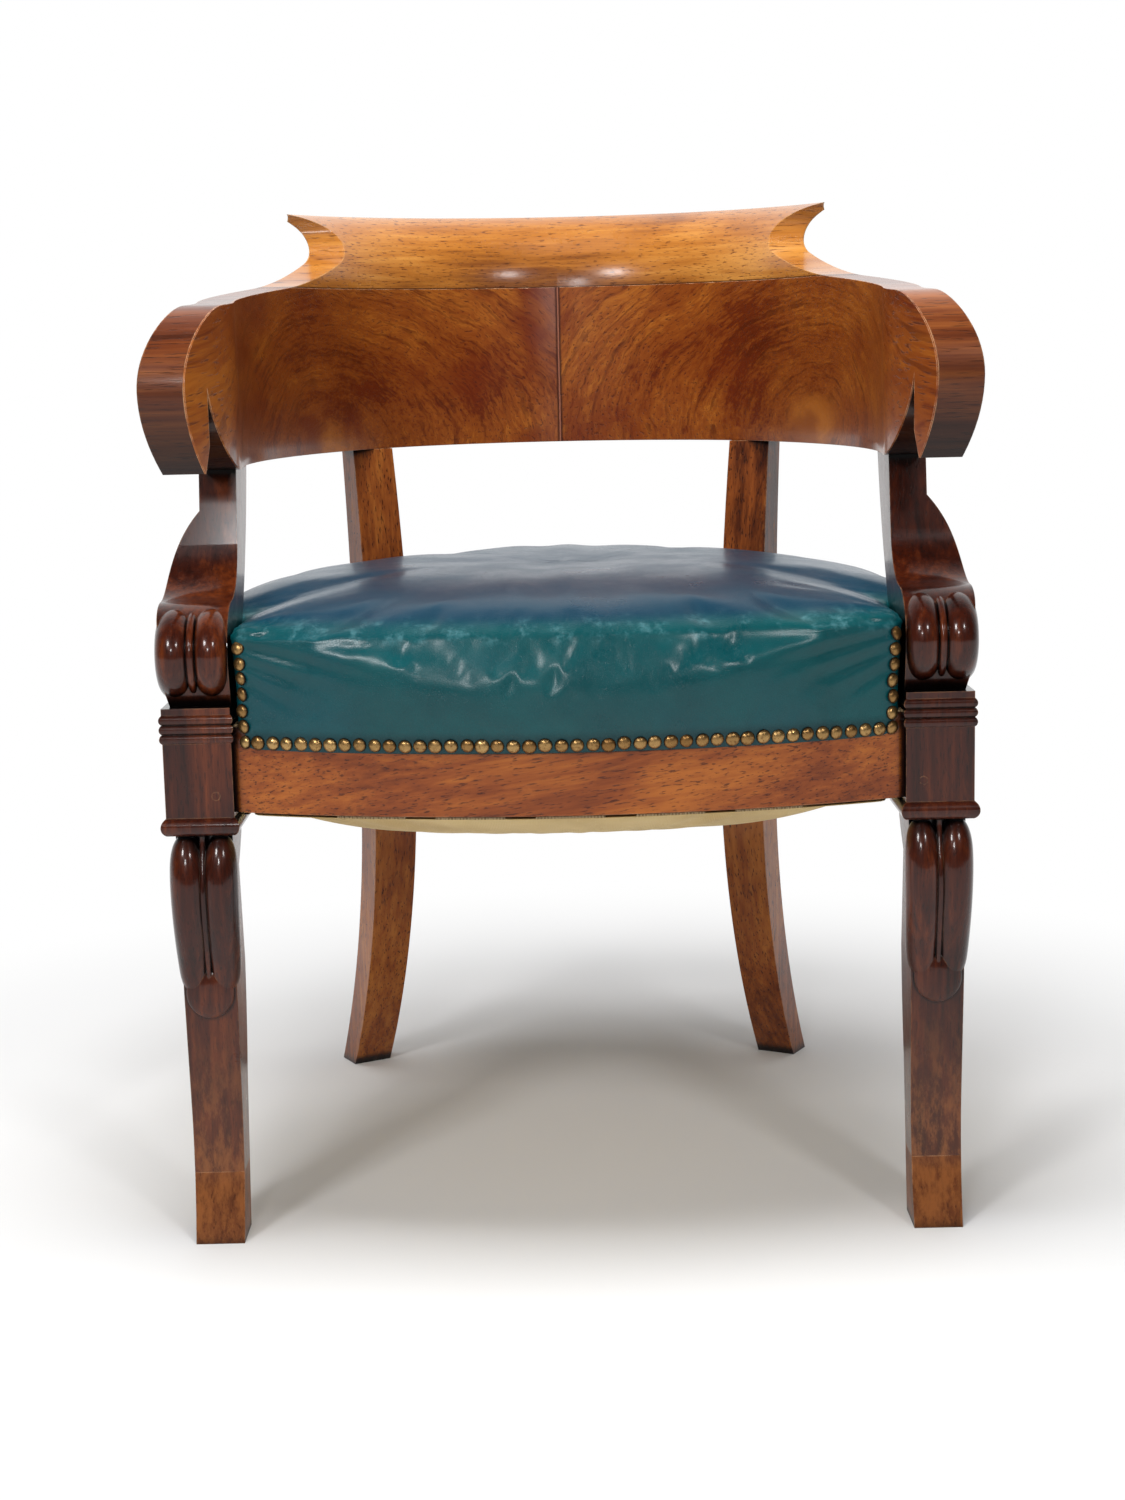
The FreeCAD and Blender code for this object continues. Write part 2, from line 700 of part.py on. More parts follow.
def back_half(name, inside, outside):
    body = new_body(name + "_core")
    plan = sketch(body, name + "_plan", "XY_Plane", [plan_strip(inside, outside)], S.board_bottom)
    pad(body, name + "_pad", plan, S.board_height)
    saw(body, name + "_elevation", "YZ_Plane", elevation())
    return body


def back_boards():
    board = back_half("back_board", S.veneer_thickness, S.board_thickness)
    tools = [mortise("arm_mortise", ARM_TENON), mortise("stile_mortise", STILE_TENON, rear_box)]
    pair(cut("back_board", board, tools), "back_board")
    pair(back_half("back_veneer", as_size(0), S.veneer_thickness), "back_veneer")


# Crest: one rolled section swept round the back, then sawn to the same side view
def crest():
    body = new_body("crest_rail")
    corners, radii = plan_points(as_size(0))
    spine = [(*corners[0], (radii[0], 1)), (*corners[1], (radii[1], 1)), corners[2]]
    path = sketch(body, "crest_path", "XY_Plane", [spine], SEAM, closed=False)
    face = F + S.back_depth
    roll, edge, low, top = S.crest_roll, S.crest_edge, SEAM, CREST_TOP
    rise = top - low
    front_radius = (rise * rise + roll * roll) / (2 * roll)
    lean = roll + 4 - S.board_thickness
    back_rise = rise - edge
    back_radius = (back_rise * back_rise + lean * lean) / (2 * lean)
    section = [(face, low, (front_radius, 1)), (face + roll, top),
               (face + roll + 4, top - edge, (back_radius, -1)), (face + S.board_thickness, low)]
    profile = sketch(body, "crest_section", "YZ_Plane", [section])
    doc.recompute()
    pipe = body.newObject("PartDesign::AdditivePipe", "crest_roll")
    pipe.Profile = profile
    pipe.Spine = (path, ["Edge1", "Edge2"])
    pipe.Mode = "Standard"
    doc.recompute()
    both = body.newObject("PartDesign::Mirrored", "crest_both")
    both.Originals = [pipe]
    both.MirrorPlane = ([item for item in body.Origin.OriginFeatures if item.Role == "YZ_Plane"][0], [""])
    body.Tip = both
    doc.recompute()
    saw(body, "crest_elevation", "YZ_Plane", elevation())
    keep(body, "crest_rail")


# Seat rails with their tenons
def tied_rail(name, loop, tenons):
    body = new_body(name + "_core")
    plan = sketch(body, name + "_plan", "XY_Plane", [loop], S.rail_bottom)
    pad(body, name + "_pad", plan, S.rail_top - S.rail_bottom)
    return fuse(name + "_tenoned", [body] + tenons)


def bow_strip(inside, outside):
    """Plan of the bowed front between two offsets behind its face."""
    centre = F - S.bow_reach + S.bow_radius
    x = S.leg_inner
    ends = []
    for offset in (outside, inside):
        radius = S.bow_radius - offset
        rise = Size(math.sqrt(radius.value ** 2 - x.value ** 2), f"sqrt({(radius * radius - x * x).text})")
        ends.append((centre - rise, radius))
    (back, back_radius), (front, front_radius) = ends
    return [(-x, front, (front_radius, -1)), (x, front), (x, back, (back_radius, 1)), (-x, back)]


def rails():
    body = new_body("front_rail_veneer")
    strip = bow_strip(as_size(0), S.rail_veneer)
    plan = sketch(body, "rail_veneer_plan", "XY_Plane", [strip], S.rail_bottom)
    pad(body, "rail_veneer_pad", plan, S.rail_top - S.rail_bottom)
    keep(body, "front_rail_veneer")
    right = box("front_tenon", *FRONT_TENON)
    left = doc.addObject("Part::Mirroring", "front_tenon_left")
    left.Source, left.Normal = right, FreeCAD.Vector(1, 0, 0)
    strip = bow_strip(S.rail_veneer, S.rail_veneer + S.rail_thickness)
    front = tied_rail("front_rail", strip, [right, left])
    peg_left = doc.addObject("Part::Mirroring", "peg_front_left")
    peg_left.Source, peg_left.Normal = PEGS[0], FreeCAD.Vector(1, 0, 0)
    keep(cut("front_rail", front, [PEGS[0], peg_left]), "front_rail")
    half = S.rear_leg_width / 2
    outer_front = (S.side_rail_front, F + S.block_depth)
    inner_front = (S.side_rail_front - S.rail_thickness, F + S.block_depth)
    outer_rear = rear_point(half, S.rear_leg_thickness - 2)
    inner_rear = rear_point(half, as_size(1))
    loop = [(*outer_rear, (S.side_rail_radius, 1)), outer_front,
            (*inner_front, (S.side_rail_radius - S.rail_thickness, -1)), inner_rear]
    tenons = [box("side_tenon", *SIDE_TENON), rear_box("rear_side_tenon", *REAR_SIDE_TENON)]
    side = tied_rail("side_rail", loop, tenons)
    pair(cut("side_rail", side, [PEGS[1], PEGS[2]]), "side_rail")
    outer = rear_point(-half, S.rear_leg_thickness - 2)
    inner = rear_point(-half, as_size(1))
    loop = [(-outer[0], outer[1], (S.back_rail_radius, 1)), outer,
            (*inner, (S.back_rail_radius - 12, -1)), (-inner[0], inner[1])]
    right = rear_box("rear_back_tenon", *REAR_BACK_TENON)
    left = doc.addObject("Part::Mirroring", "rear_back_tenon_left")
    left.Source, left.Normal = right, FreeCAD.Vector(1, 0, 0)
    peg_left = doc.addObject("Part::Mirroring", "peg_rear_back_left")
    peg_left.Source, peg_left.Normal = PEGS[3], FreeCAD.Vector(1, 0, 0)
    back = tied_rail("back_seat_rail", loop, [right, left])
    keep(cut("back_seat_rail", back, [PEGS[3], peg_left]), "back_seat_rail")


# Upholstery: the seat outline is three circles, the same ones the rails are drawn to
def circle_through(a, b, radius):
    """Centre of the circle of a given radius through two points, to the left of the way from a to b."""
    chord = b - a
    left = FreeCAD.Vector(-chord.y, chord.x, 0).normalize()
    return (a + b) * 0.5 + left * math.sqrt(radius ** 2 - (chord.Length / 2) ** 2)


def crossing(one, r_one, two, r_two, side):
    """One of the two points where two circles cross; side picks left or right of the line of centres."""
    line = two - one
    gap = line.Length
    along = (gap ** 2 + r_one ** 2 - r_two ** 2) / (2 * gap)
    away = math.sqrt(r_one ** 2 - along ** 2)
    line.normalize()
    return one + line * along + FreeCAD.Vector(-line.y, line.x, 0) * (side * away)


HALF = S.rear_leg_width / 2
SPRING_WAIST = S.spring_waist.value
RAIL_GAP = (S.leather_thickness + S.soft_clearance).value
BOW_MIDDLE = FreeCAD.Vector(0, (F - S.bow_reach + S.bow_radius).value, 0)
BOW_RADIUS = S.bow_radius.value + RAIL_GAP
SIDE_REAR = flat(rear_point(HALF, S.rear_leg_thickness - 2))
SIDE_FRONT = flat((S.side_rail_front, F + S.block_depth))
SIDE_MIDDLE = circle_through(SIDE_FRONT, SIDE_REAR, S.side_rail_radius.value)
SIDE_RADIUS = S.side_rail_radius.value + RAIL_GAP
BACK_END = flat(rear_point(-HALF, S.rear_leg_thickness - 2))
BACK_MIDDLE = circle_through(BACK_END, FreeCAD.Vector(-BACK_END.x, BACK_END.y, 0), S.back_rail_radius.value)
BACK_RADIUS = S.back_rail_radius.value + RAIL_GAP


def seat_outline(inset, level):
    """Closed outline of the seat, set in by an amount, at a level."""
    bow, side, back = BOW_RADIUS - inset, SIDE_RADIUS - inset, BACK_RADIUS - inset
    front = crossing(SIDE_MIDDLE, side, BOW_MIDDLE, bow, -1)
    rear = crossing(SIDE_MIDDLE, side, BACK_MIDDLE, back, 1)
    half_way = ((front + rear) * 0.5 - SIDE_MIDDLE).normalize()
    beside = SIDE_MIDDLE + half_way * side
    corners = [FreeCAD.Vector(-front.x, front.y, level), FreeCAD.Vector(front.x, front.y, level),
               FreeCAD.Vector(rear.x, rear.y, level), FreeCAD.Vector(-rear.x, rear.y, level)]
    middles = [FreeCAD.Vector(0, BOW_MIDDLE.y - bow, level), FreeCAD.Vector(beside.x, beside.y, level),
               FreeCAD.Vector(0, BACK_MIDDLE.y + back, level), FreeCAD.Vector(-beside.x, beside.y, level)]
    arcs = [Part.Arc(corners[i], middles[i], corners[(i + 1) % 4]).toShape() for i in range(4)]
    return Part.Wire(arcs)


def slab(inset, low, high):
    """Flat slab of the seat outline between two levels."""
    face = Part.Face(seat_outline(inset, low))
    return face.extrude(FreeCAD.Vector(0, 0, high - low))


def stile_face(level):
    """How far the front face of the rear leg has swept back at a level above its waist."""
    rise, top = S.board_bottom.value - S.rear_waist_level.value, S.rear_top_splay.value
    radius = (rise ** 2 + top ** 2) / (2 * top)
    return radius - math.sqrt(radius ** 2 - (level - S.rear_waist_level.value) ** 2)


def stile_notch(gap):
    """Room for one rear leg where the seat meets it: a block with a sloping front."""
    low, high, half = S.rail_bottom.value, S.crown_level.value, HALF.value + gap
    near, far = stile_face(low) - gap, stile_face(high) - gap
    deep, spare = 3 * S.rear_leg_thickness.value, S.rail_bottom.value / 2
    outs = [(low - spare, near), (low, near), (high, far),
            (high + spare, far), (high + spare, deep), (low - spare, deep)]
    corners = [FreeCAD.Vector(-half, out, level) for level, out in outs + outs[:1]]
    face = Part.Face(Part.makePolygon(corners))
    block = face.extrude(FreeCAD.Vector(2 * half, 0, 0))
    turn = FreeCAD.Rotation(FreeCAD.Vector(0, 0, 1), -S.rear_leg_turn.value)
    block.Placement = FreeCAD.Placement(FreeCAD.Vector(S.rear_leg_x.value, REAR_Y.value, 0), turn)
    return block


def notches(gap, heel=True):
    """Room for the front legs, arm supports and rear legs, with a gap round each."""
    inner, front = S.leg_inner.value - gap, (F - S.bow_reach).value
    block = (F + S.block_depth).value + gap
    high = (F + S.support_heel).value + gap if heel else block
    levels = [(front, 0), (block, 0), (block, S.block_top.value), (high, S.crown_level.value),
              (high, SEAM.value), (front, SEAM.value), (front, 0)]
    side = Part.Face(Part.makePolygon([FreeCAD.Vector(inner, y, z) for y, z in levels]))
    tools = []
    for tool in (side.extrude(FreeCAD.Vector(2 * S.block_width.value, 0, 0)), stile_notch(gap)):
        tools += [tool, tool.mirror(FreeCAD.Vector(), FreeCAD.Vector(1, 0, 0))]
    return tools


def turned_form(profile):
    """Seat-shaped solid: a slab with a profile of (set-in, level) turned off about each rail centre.

    A third value in a row is the row that the arc to the next one passes through.
    """
    wide = min(row[0] for row in profile) - 40
    low, high = profile[0][1], profile[-1][1]
    half = slab(wide + 15, low, high).common(Part.makeBox(800, 1600, 1600, FreeCAD.Vector(0, -800, -200)))
    for middle, radius, facing in ((BOW_MIDDLE, BOW_RADIUS, -90), (SIDE_MIDDLE, SIDE_RADIUS, 0),
                                   (BACK_MIDDLE, BACK_RADIUS, 90)):
        rows = [(profile[0][0], low - 5)] + list(profile)
        rows += [(profile[-1][0], high + 5), (wide, high + 5), (wide, low - 5)]
        points = [FreeCAD.Vector(radius - row[0], 0, row[1]) for row in rows]
        edges = []
        for i, row in enumerate(rows):
            end = points[(i + 1) % len(points)]
            if len(row) > 2:
                through = FreeCAD.Vector(radius - row[2][0], 0, row[2][1])
                edges.append(Part.Arc(points[i], through, end).toShape())
            else:
                edges.append(Part.makeLine(points[i], end))
        ring = Part.Face(Part.Wire(edges)).revolve(FreeCAD.Vector(), FreeCAD.Vector(0, 0, 1), 140)
        ring.Placement = FreeCAD.Placement(middle, FreeCAD.Rotation(FreeCAD.Vector(0, 0, 1), facing - 70))
        half = half.cut(ring)
    half = max(half.Solids, key=lambda solid: solid.Volume)
    return half.fuse(half.mirror(FreeCAD.Vector(), FreeCAD.Vector(1, 0, 0))).removeSplitter().Solids[0]


def cushion(inset, bottom):
    """Crowned seat form: drawn in at the nails, swelling above them, rolled at the ridge."""
    ridge, crown, bulge = S.ridge_level.value - inset, S.crown_level.value - inset, S.seat_bulge.value
    nails = S.nail_level.value + S.nail_radius.value
    rows = [(inset, bottom), (inset, nails, (inset - bulge, nails + 38)),
            (inset - 0.6 * bulge, ridge - 9, (inset + 1, ridge)),
            (inset + 16, ridge + 5, (inset + 80, crown - 4.5)),
            (inset + 170, crown)]
    if bottom > nails:
        rows = [(inset - 0.3 * bulge, bottom, (inset - bulge, nails + 38))] + rows[2:]
    return turned_form(rows)


def feature(shape, label):
    thing = doc.addObject("Part::Feature", label)
    thing.Shape = shape
    return keep(thing, label)


def stuffing():
    clear, skin = S.soft_clearance.value, S.leather_thickness.value
    hessian_top = S.rail_top.value + S.hessian_thickness.value
    feature(slab(2 * skin, S.rail_top.value, hessian_top).cut(notches(2 * clear)), "spring_hessian")
    pad_form = cushion(skin + clear, hessian_top + clear).cut(notches(skin + 2 * clear))
    feature(pad_form, "stuffing_pad")
    form = cushion(0, S.cover_bottom.value)
    outer = form.cut(notches(clear))
    inner = cushion(skin, S.cover_bottom.value - 3).cut(notches(clear + skin))
    over_rails = slab(skin + 0.05, S.cover_bottom.value - 5, hessian_top + clear)
    feature(outer.cut(inner).cut(over_rails), "leather_cover")
    return form.Shells[0]


def dome(radius, height):
    """Low round head on a flat seat, standing along Z."""
    ball = (radius ** 2 + height ** 2) / (2 * height)
    tilt = math.degrees(math.asin((ball - height) / ball))
    middle, up = FreeCAD.Vector(0, 0, height - ball), FreeCAD.Vector(0, 0, 1)
    return Part.makeSphere(ball, middle, up, tilt, 90, 360)


def spread(length, pitch):
    """Evenly spaced places along a length, as near to the pitch as fits."""
    count = max(2, round(length / pitch) + 1)
    return [length * i / (count - 1) for i in range(count)]


def on_skin(skin, spot, inward):
    """Nearest point of a skin to a place just outside it, and the way out there."""
    outside = spot - inward * 12
    nearest = Part.Vertex(outside).distToShape(skin)[1][0][1]
    return nearest, outside - nearest


def arc_spots(middle, radius, start, end, level, pitch):
    """Places along an arc between two angles, with the inward directions there."""
    spots = []
    for step in spread(radius * math.radians(end - start), pitch):
        angle = math.radians(start) + step / radius
        way = FreeCAD.Vector(math.cos(angle), math.sin(angle), 0)
        spots.append((FreeCAD.Vector(middle.x, middle.y, level) + way * radius, way * -1))
    return spots


def angle_of(middle, point):
    return math.degrees(math.atan2(point.y - middle.y, point.x - middle.x))


def brass_nails(skin):
    """Close-set nails: bow, front corners, sides and back."""
    level, pitch = S.nail_level.value, S.nail_pitch.value
    edge = RAIL_GAP + S.nail_radius.value
    x = S.leg_inner.value - edge
    reach = math.degrees(math.asin(x / BOW_RADIUS))
    spots = arc_spots(BOW_MIDDLE, BOW_RADIUS, -90 - reach, -90 + reach, level, pitch)
    corner = spots[-1]
    rise = S.ridge_level.value - 12 - level
    for step in spread(rise, pitch)[1:]:
        for side in (1, -1):
            spot = FreeCAD.Vector(side * x, corner[0].y, level + step)
            spots.append((spot, FreeCAD.Vector(side * corner[1].x, corner[1].y, 0)))
    start = FreeCAD.Vector(0, (F + S.block_depth).value + edge, 0)
    start_angle = math.degrees(math.asin((start.y - SIDE_MIDDLE.y) / SIDE_RADIUS))
    end_angle = angle_of(SIDE_MIDDLE, SIDE_REAR) - math.degrees((edge + 2 * pitch) / SIDE_RADIUS)
    for spot, way in arc_spots(SIDE_MIDDLE, SIDE_RADIUS, start_angle, end_angle, level, pitch):
        spots.append((spot, way))
        spots.append((FreeCAD.Vector(-spot.x, spot.y, spot.z), FreeCAD.Vector(-way.x, way.y, 0)))
    swing = 90 - angle_of(BACK_MIDDLE, BACK_END) - math.degrees(edge / BACK_RADIUS)
    spots += arc_spots(BACK_MIDDLE, BACK_RADIUS, 90 - swing, 90 + swing, level, pitch)
    heads = []
    for spot, inward in spots:
        head = dome(S.nail_radius.value, S.nail_dome.value)
        seat, outward = on_skin(skin, spot, inward)
        head.Placement = FreeCAD.Placement(seat, FreeCAD.Rotation(FreeCAD.Vector(0, 0, 1), outward))
        heads.append(head)
    feature(Part.makeCompound(heads), "brass_nails")


def biarc(start, leave, end, arrive):
    """Two arcs from start to end that meet at a shared tangent and keep the two end directions."""
    chord, both = end - start, leave + arrive
    turn = 2 * (1 - leave.dot(arrive))
    reach = (math.sqrt(chord.dot(both) ** 2 + turn * chord.dot(chord)) - chord.dot(both)) / turn
    joint = (start + end + (leave - arrive) * reach) * 0.5
    arcs = []
    for a, b, corner in ((start, joint, start + leave * reach), (joint, end, end - arrive * reach)):
        middle, half = (a + b) * 0.5, (b - a).Length / 2
        rise = half * math.tan(math.acos(half / reach) / 2)
        arcs.append(Part.Arc(a, middle + (corner - middle).normalize() * rise, b).toShape())
    return arcs


def spring(radius, wire, turns, height):
    """Hourglass coil: the radius draws in to the waist half way up."""
    spots = []
    steps = round(4 * turns)
    for i in range(steps + 1):
        share, angle = i / steps, math.pi * i / 2
        out = radius * (1 - 4 * SPRING_WAIST * share * (1 - share))
        draw_in = -4 * radius * SPRING_WAIST * (1 - 2 * share)
        around = out * math.pi * steps / 2
        spot = FreeCAD.Vector(out * math.cos(angle), out * math.sin(angle), height * share)
        way = FreeCAD.Vector(draw_in * math.cos(angle) - around * math.sin(angle),
                             draw_in * math.sin(angle) + around * math.cos(angle), height)
        spots.append((spot, way.normalize()))
    arcs = []
    for (start, leave), (end, arrive) in zip(spots, spots[1:]):
        arcs += biarc(start, leave, end, arrive)
    ring = Part.Wire(Part.makeCircle(wire, spots[0][0], spots[0][1]))
    return Part.Wire(arcs).makePipeShell([ring], True, False)


def underside():
    """Webbing, springs, dust cover and its tacks."""
    low, strap, width = S.rail_bottom.value, S.strap_thickness.value, S.strap_width.value
    clear = S.soft_clearance.value
    room = notches(2 * clear, heel=False)
    front = F.value
    straps = []
    wide = 2 * S.back_depth.value
    area = slab(8, low - strap, low).cut(room)
    for i in range(4):
        y = front + S.strap_first.value + i * S.strap_pitch_along.value
        lane = Part.makeBox(wide, width, 4 * strap, FreeCAD.Vector(-wide / 2, y - width / 2, low - 2 * strap))
        straps += area.common(lane).Solids
    area = slab(8, low - 2 * strap, low - strap).cut(room)
    for i in range(5):
        x = (i - 2) * S.strap_pitch_across.value
        lane = Part.makeBox(width, wide, 4 * strap, FreeCAD.Vector(x - width / 2, -wide / 2, low - 3 * strap))
        straps += area.common(lane).Solids
    feature(Part.makeCompound(straps), "webbing_straps")
    wire = S.spring_wire.value
    coil = spring(S.spring_radius.value, wire, S.spring_turns.value, S.rail_top.value - low - 2 * wire)
    coils = []
    for spread_x, row in ((0, S.spring_row_middle), (S.spring_spread_front.value, S.spring_row_front),
                          (S.spring_spread_back.value, S.spring_row_back)):
        for x in sorted({spread_x, -spread_x}):
            coils.append(coil.translated(FreeCAD.Vector(x, front + row.value, low + wire)))
    feature(Part.makeCompound(coils), "seat_springs")
    top = low - 2 * strap
    thick, sag, rim = S.dust_thickness.value, S.dust_sag.value, S.dust_rim.value
    bowls = []
    for drop in (0, thick):
        edge = rim + thick - drop
        low_row = (edge + 60, top - drop - 0.66 * sag)
        bowls.append(turned_form([(edge + 150, top - drop - sag, low_row), (edge, top - drop)]))
    margin = slab(10, top - thick, top).cut(slab(rim + thick, top - 20, top + 20))
    sheet_form = bowls[1].cut(bowls[0]).fuse(margin).cut(room)
    feature(sheet_form, "dust_cover")
    heads = []
    tack = dome(S.tack_radius.value, 1.2)
    line = seat_outline(18, top - thick)
    for spot in line.discretize(Distance=S.tack_pitch.value):
        head = tack.copy()
        head.Placement = FreeCAD.Placement(spot, FreeCAD.Rotation(FreeCAD.Vector(1, 0, 0), 180))
        if all(head.common(tool).Volume < 1e-6 for tool in room):
            heads.append(head)
    feature(Part.makeCompound(heads), "cover_tacks")


def small_wood():
    """Pegs and glued corner blocks, both hands."""
    every = []
    for peg in PEGS:
        every += [peg.Shape, peg.Shape.mirror(FreeCAD.Vector(), FreeCAD.Vector(1, 0, 0))]
    feature(Part.makeCompound(every), "joint_pegs")
    high = S.cover_bottom.value - 3
    low = high - S.corner_block_height.value
    size, inner = S.corner_block_size.value, S.leg_inner.value
    radius = S.bow_radius.value - S.rail_veneer.value - S.rail_thickness.value
    ends = []
    for x in (inner, inner - size):
        ends.append(FreeCAD.Vector(x, BOW_MIDDLE.y - math.sqrt(radius ** 2 - x ** 2), low))
    third = FreeCAD.Vector(inner, (F + S.block_depth).value, low)
    triangle = Part.Face(Part.makePolygon([ends[0], ends[1], third, ends[0]]))
    front = triangle.extrude(FreeCAD.Vector(0, 0, high - low))
    out = (-S.corner_block_size / 2, as_size(0))
    rear = rear_box("rear_corner_block", (-HALF, HALF), out, (as_size(low), as_size(high)))
    doc.recompute()
    blocks = []
    for shape in (front, rear.Shape):
        blocks += [shape, shape.mirror(FreeCAD.Vector(), FreeCAD.Vector(1, 0, 0))]
    feature(Part.makeCompound(blocks), "corner_blocks")


front_leg()
arm_support()
rear_leg()
back_boards()
crest()
rails()
doc.recompute()
brass_nails(stuffing())
underside()
small_wood()

doc.recompute()
bad = 0
for thing in doc.Objects:
    if "Invalid" in thing.State or "Error" in thing.State:
        print("not built:", thing.Label, thing.State)
        bad += 1
for thing in pieces:
    shape = thing.Shape
    if shape.isNull() or not shape.isValid():
        print("bad shape:", thing.Label)
        bad += 1
        continue
    b = shape.optimalBoundingBox(False)
    print(f"{thing.Label:22s} solids {len(shape.Solids)} vol {shape.Volume/1000:9.1f} "
          f"x {b.XMin:7.1f} {b.XMax:7.1f} y {b.YMin:7.1f} {b.YMax:7.1f} z {b.ZMin:7.1f} {b.ZMax:7.1f}")
if bad:
    raise RuntimeError("part not written")
for thing in pieces:
    thing.Shape.exportStep("parts/" + thing.Label + ".step")
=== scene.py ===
# %% [markdown]
# Gondola desk armchair in old mahogany, with a close-nailed leather seat.
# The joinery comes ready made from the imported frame, in metres, with the floor at z = 0.
# This lesson keeps that joinery where it is. It gives each wood its own finish, makes the
# soft parts of the seat again as cloth and leather, and sets up the camera and the light.

# %% Load the frame
import math

import bpy
import numpy as np
from mathutils import Matrix, Vector


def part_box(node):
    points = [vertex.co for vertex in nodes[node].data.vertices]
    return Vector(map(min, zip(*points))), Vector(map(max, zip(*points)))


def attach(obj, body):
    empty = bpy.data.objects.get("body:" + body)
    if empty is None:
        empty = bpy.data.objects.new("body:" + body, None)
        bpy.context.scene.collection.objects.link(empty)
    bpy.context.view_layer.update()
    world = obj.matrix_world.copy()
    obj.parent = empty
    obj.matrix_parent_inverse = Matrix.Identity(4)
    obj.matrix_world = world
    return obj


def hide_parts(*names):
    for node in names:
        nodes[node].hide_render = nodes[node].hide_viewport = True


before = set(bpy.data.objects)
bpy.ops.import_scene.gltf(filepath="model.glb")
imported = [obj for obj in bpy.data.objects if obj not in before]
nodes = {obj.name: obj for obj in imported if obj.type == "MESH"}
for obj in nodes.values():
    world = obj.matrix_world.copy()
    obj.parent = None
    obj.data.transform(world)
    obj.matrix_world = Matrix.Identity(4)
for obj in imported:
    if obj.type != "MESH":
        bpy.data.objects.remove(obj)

scene = bpy.context.scene
scene.view_settings.view_transform = "Standard"
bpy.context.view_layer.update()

# %% [markdown]
# The chair was photographed from the front, at about the height of its arms, with the camera
# tipped down and leaning very slightly to one side. A camera is an object whose matrix holds
# its right, up and backward directions, so the tilt and the lean are written as those.
# The lens follows from the focal length in pixels of the long side of the picture.

# %% Camera
IMAGE_LONG_SIDE = 1500
FOCAL_PIXELS = 2400
SENSOR = 36.0
EYE = Vector((-0.0047, -1.9744, 0.6584))
TIP_DOWN = math.radians(9.505)
LEAN = math.radians(1.3)


def aim_camera():
    """Camera at EYE: tip the forward direction down, then turn right and up about it by the lean."""
    forward = Vector((0, math.cos(TIP_DOWN), -math.sin(TIP_DOWN)))
    level_up = Vector((0, math.sin(TIP_DOWN), math.cos(TIP_DOWN)))
    level_right = Vector((1, 0, 0))
    up = level_up * math.cos(LEAN) + level_right * math.sin(LEAN)
    right = level_right * math.cos(LEAN) - level_up * math.sin(LEAN)
    camera = bpy.data.objects.new("camera", bpy.data.cameras.new("camera"))
    camera.data.sensor_width = SENSOR
    camera.data.lens = SENSOR * FOCAL_PIXELS / IMAGE_LONG_SIDE
    camera.matrix_world = Matrix.Translation(EYE) @ Matrix((right, up, -forward)).transposed().to_4x4()
    scene.collection.objects.link(camera)
    scene.camera = camera
    return camera


print("camera lens", round(aim_camera().data.lens, 1), "mm")

# %% [markdown]
# A shader is a graph of small nodes. These helpers add one node, set its sockets, and give
# back the socket that the next node needs. A value that is itself a socket is linked.


# %% Node helpers
def node(tree, kind, values=None, **settings):
    """Add one shader node with its settings and socket values."""
    made = tree.nodes.new("ShaderNode" + kind)
    for name, setting in settings.items():
        setattr(made, name, setting)
    for name, value in (values or {}).items():
        feed(tree, made.inputs[name], value)
    return made


def feed(tree, socket, value):
    """Link a socket to a value that is a socket, or set it to a plain value."""
    if isinstance(value, bpy.types.NodeSocket):
        tree.links.new(value, socket)
    elif hasattr(socket.default_value, "__len__") and len(socket.default_value) == 4 and len(value) == 3:
        socket.default_value = (*value, 1.0)
    else:
        socket.default_value = value


def sums(tree, operation, *values):
    """One Math node: its result."""
    made = node(tree, "Math", operation=operation)
    for socket, value in zip(made.inputs, values):
        feed(tree, socket, value)
    return made.outputs[0]


def times(tree, first, second):
    """The product of two values."""
    return sums(tree, "MULTIPLY", first, second)


def weighted(tree, *pairs):
    """The sum of values, each times its weight."""
    total = 0.0
    for value, weight in reversed(pairs):
        total = sums(tree, "MULTIPLY_ADD", value, weight, total)
    return total


def vectors(tree, operation, *values):
    """One Vector Math node: its vector result, or its number for a length or dot product."""
    made = node(tree, "VectorMath", operation=operation)
    for socket, value in zip(made.inputs, values):
        feed(tree, socket, value)
    return made.outputs[1 if operation in ("LENGTH", "DOT_PRODUCT", "DISTANCE") else 0]


def axes_of(tree, vector):
    """The X, Y and Z of a vector."""
    return node(tree, "SeparateXYZ", {"Vector": vector}).outputs


def mix(tree, factor, first, second, blend="MIX"):
    """Mix two colours by a factor."""
    made = node(tree, "Mix", data_type="RGBA", blend_type=blend)
    feed(tree, made.inputs[0], factor)
    feed(tree, made.inputs[6], first)
    feed(tree, made.inputs[7], second)
    return made.outputs[2]


def layered(tree, colour, *layers):
    """Lay further colours over a colour, each (share, colour)."""
    for share, over in layers:
        colour = mix(tree, share, colour, over)
    return colour


def spread(tree, value, low, high, start=0.0, end=1.0):
    """Stretch a range of values to a new range, smoothly and without overshoot."""
    made = node(tree, "MapRange", {"Value": value, "From Min": low, "From Max": high, "To Min": start, "To Max": end})
    made.interpolation_type = "SMOOTHSTEP"
    return made.outputs[0]


def noise(tree, vector, scale, detail=3.0, roughness=0.55, distortion=0.0):
    """Fractal noise of a vector, from about 0 to 1."""
    made = node(tree, "TexNoise", {"Vector": vector, "Scale": scale, "Detail": detail,
                                   "Roughness": roughness, "Distortion": distortion})
    return made.outputs["Fac"]


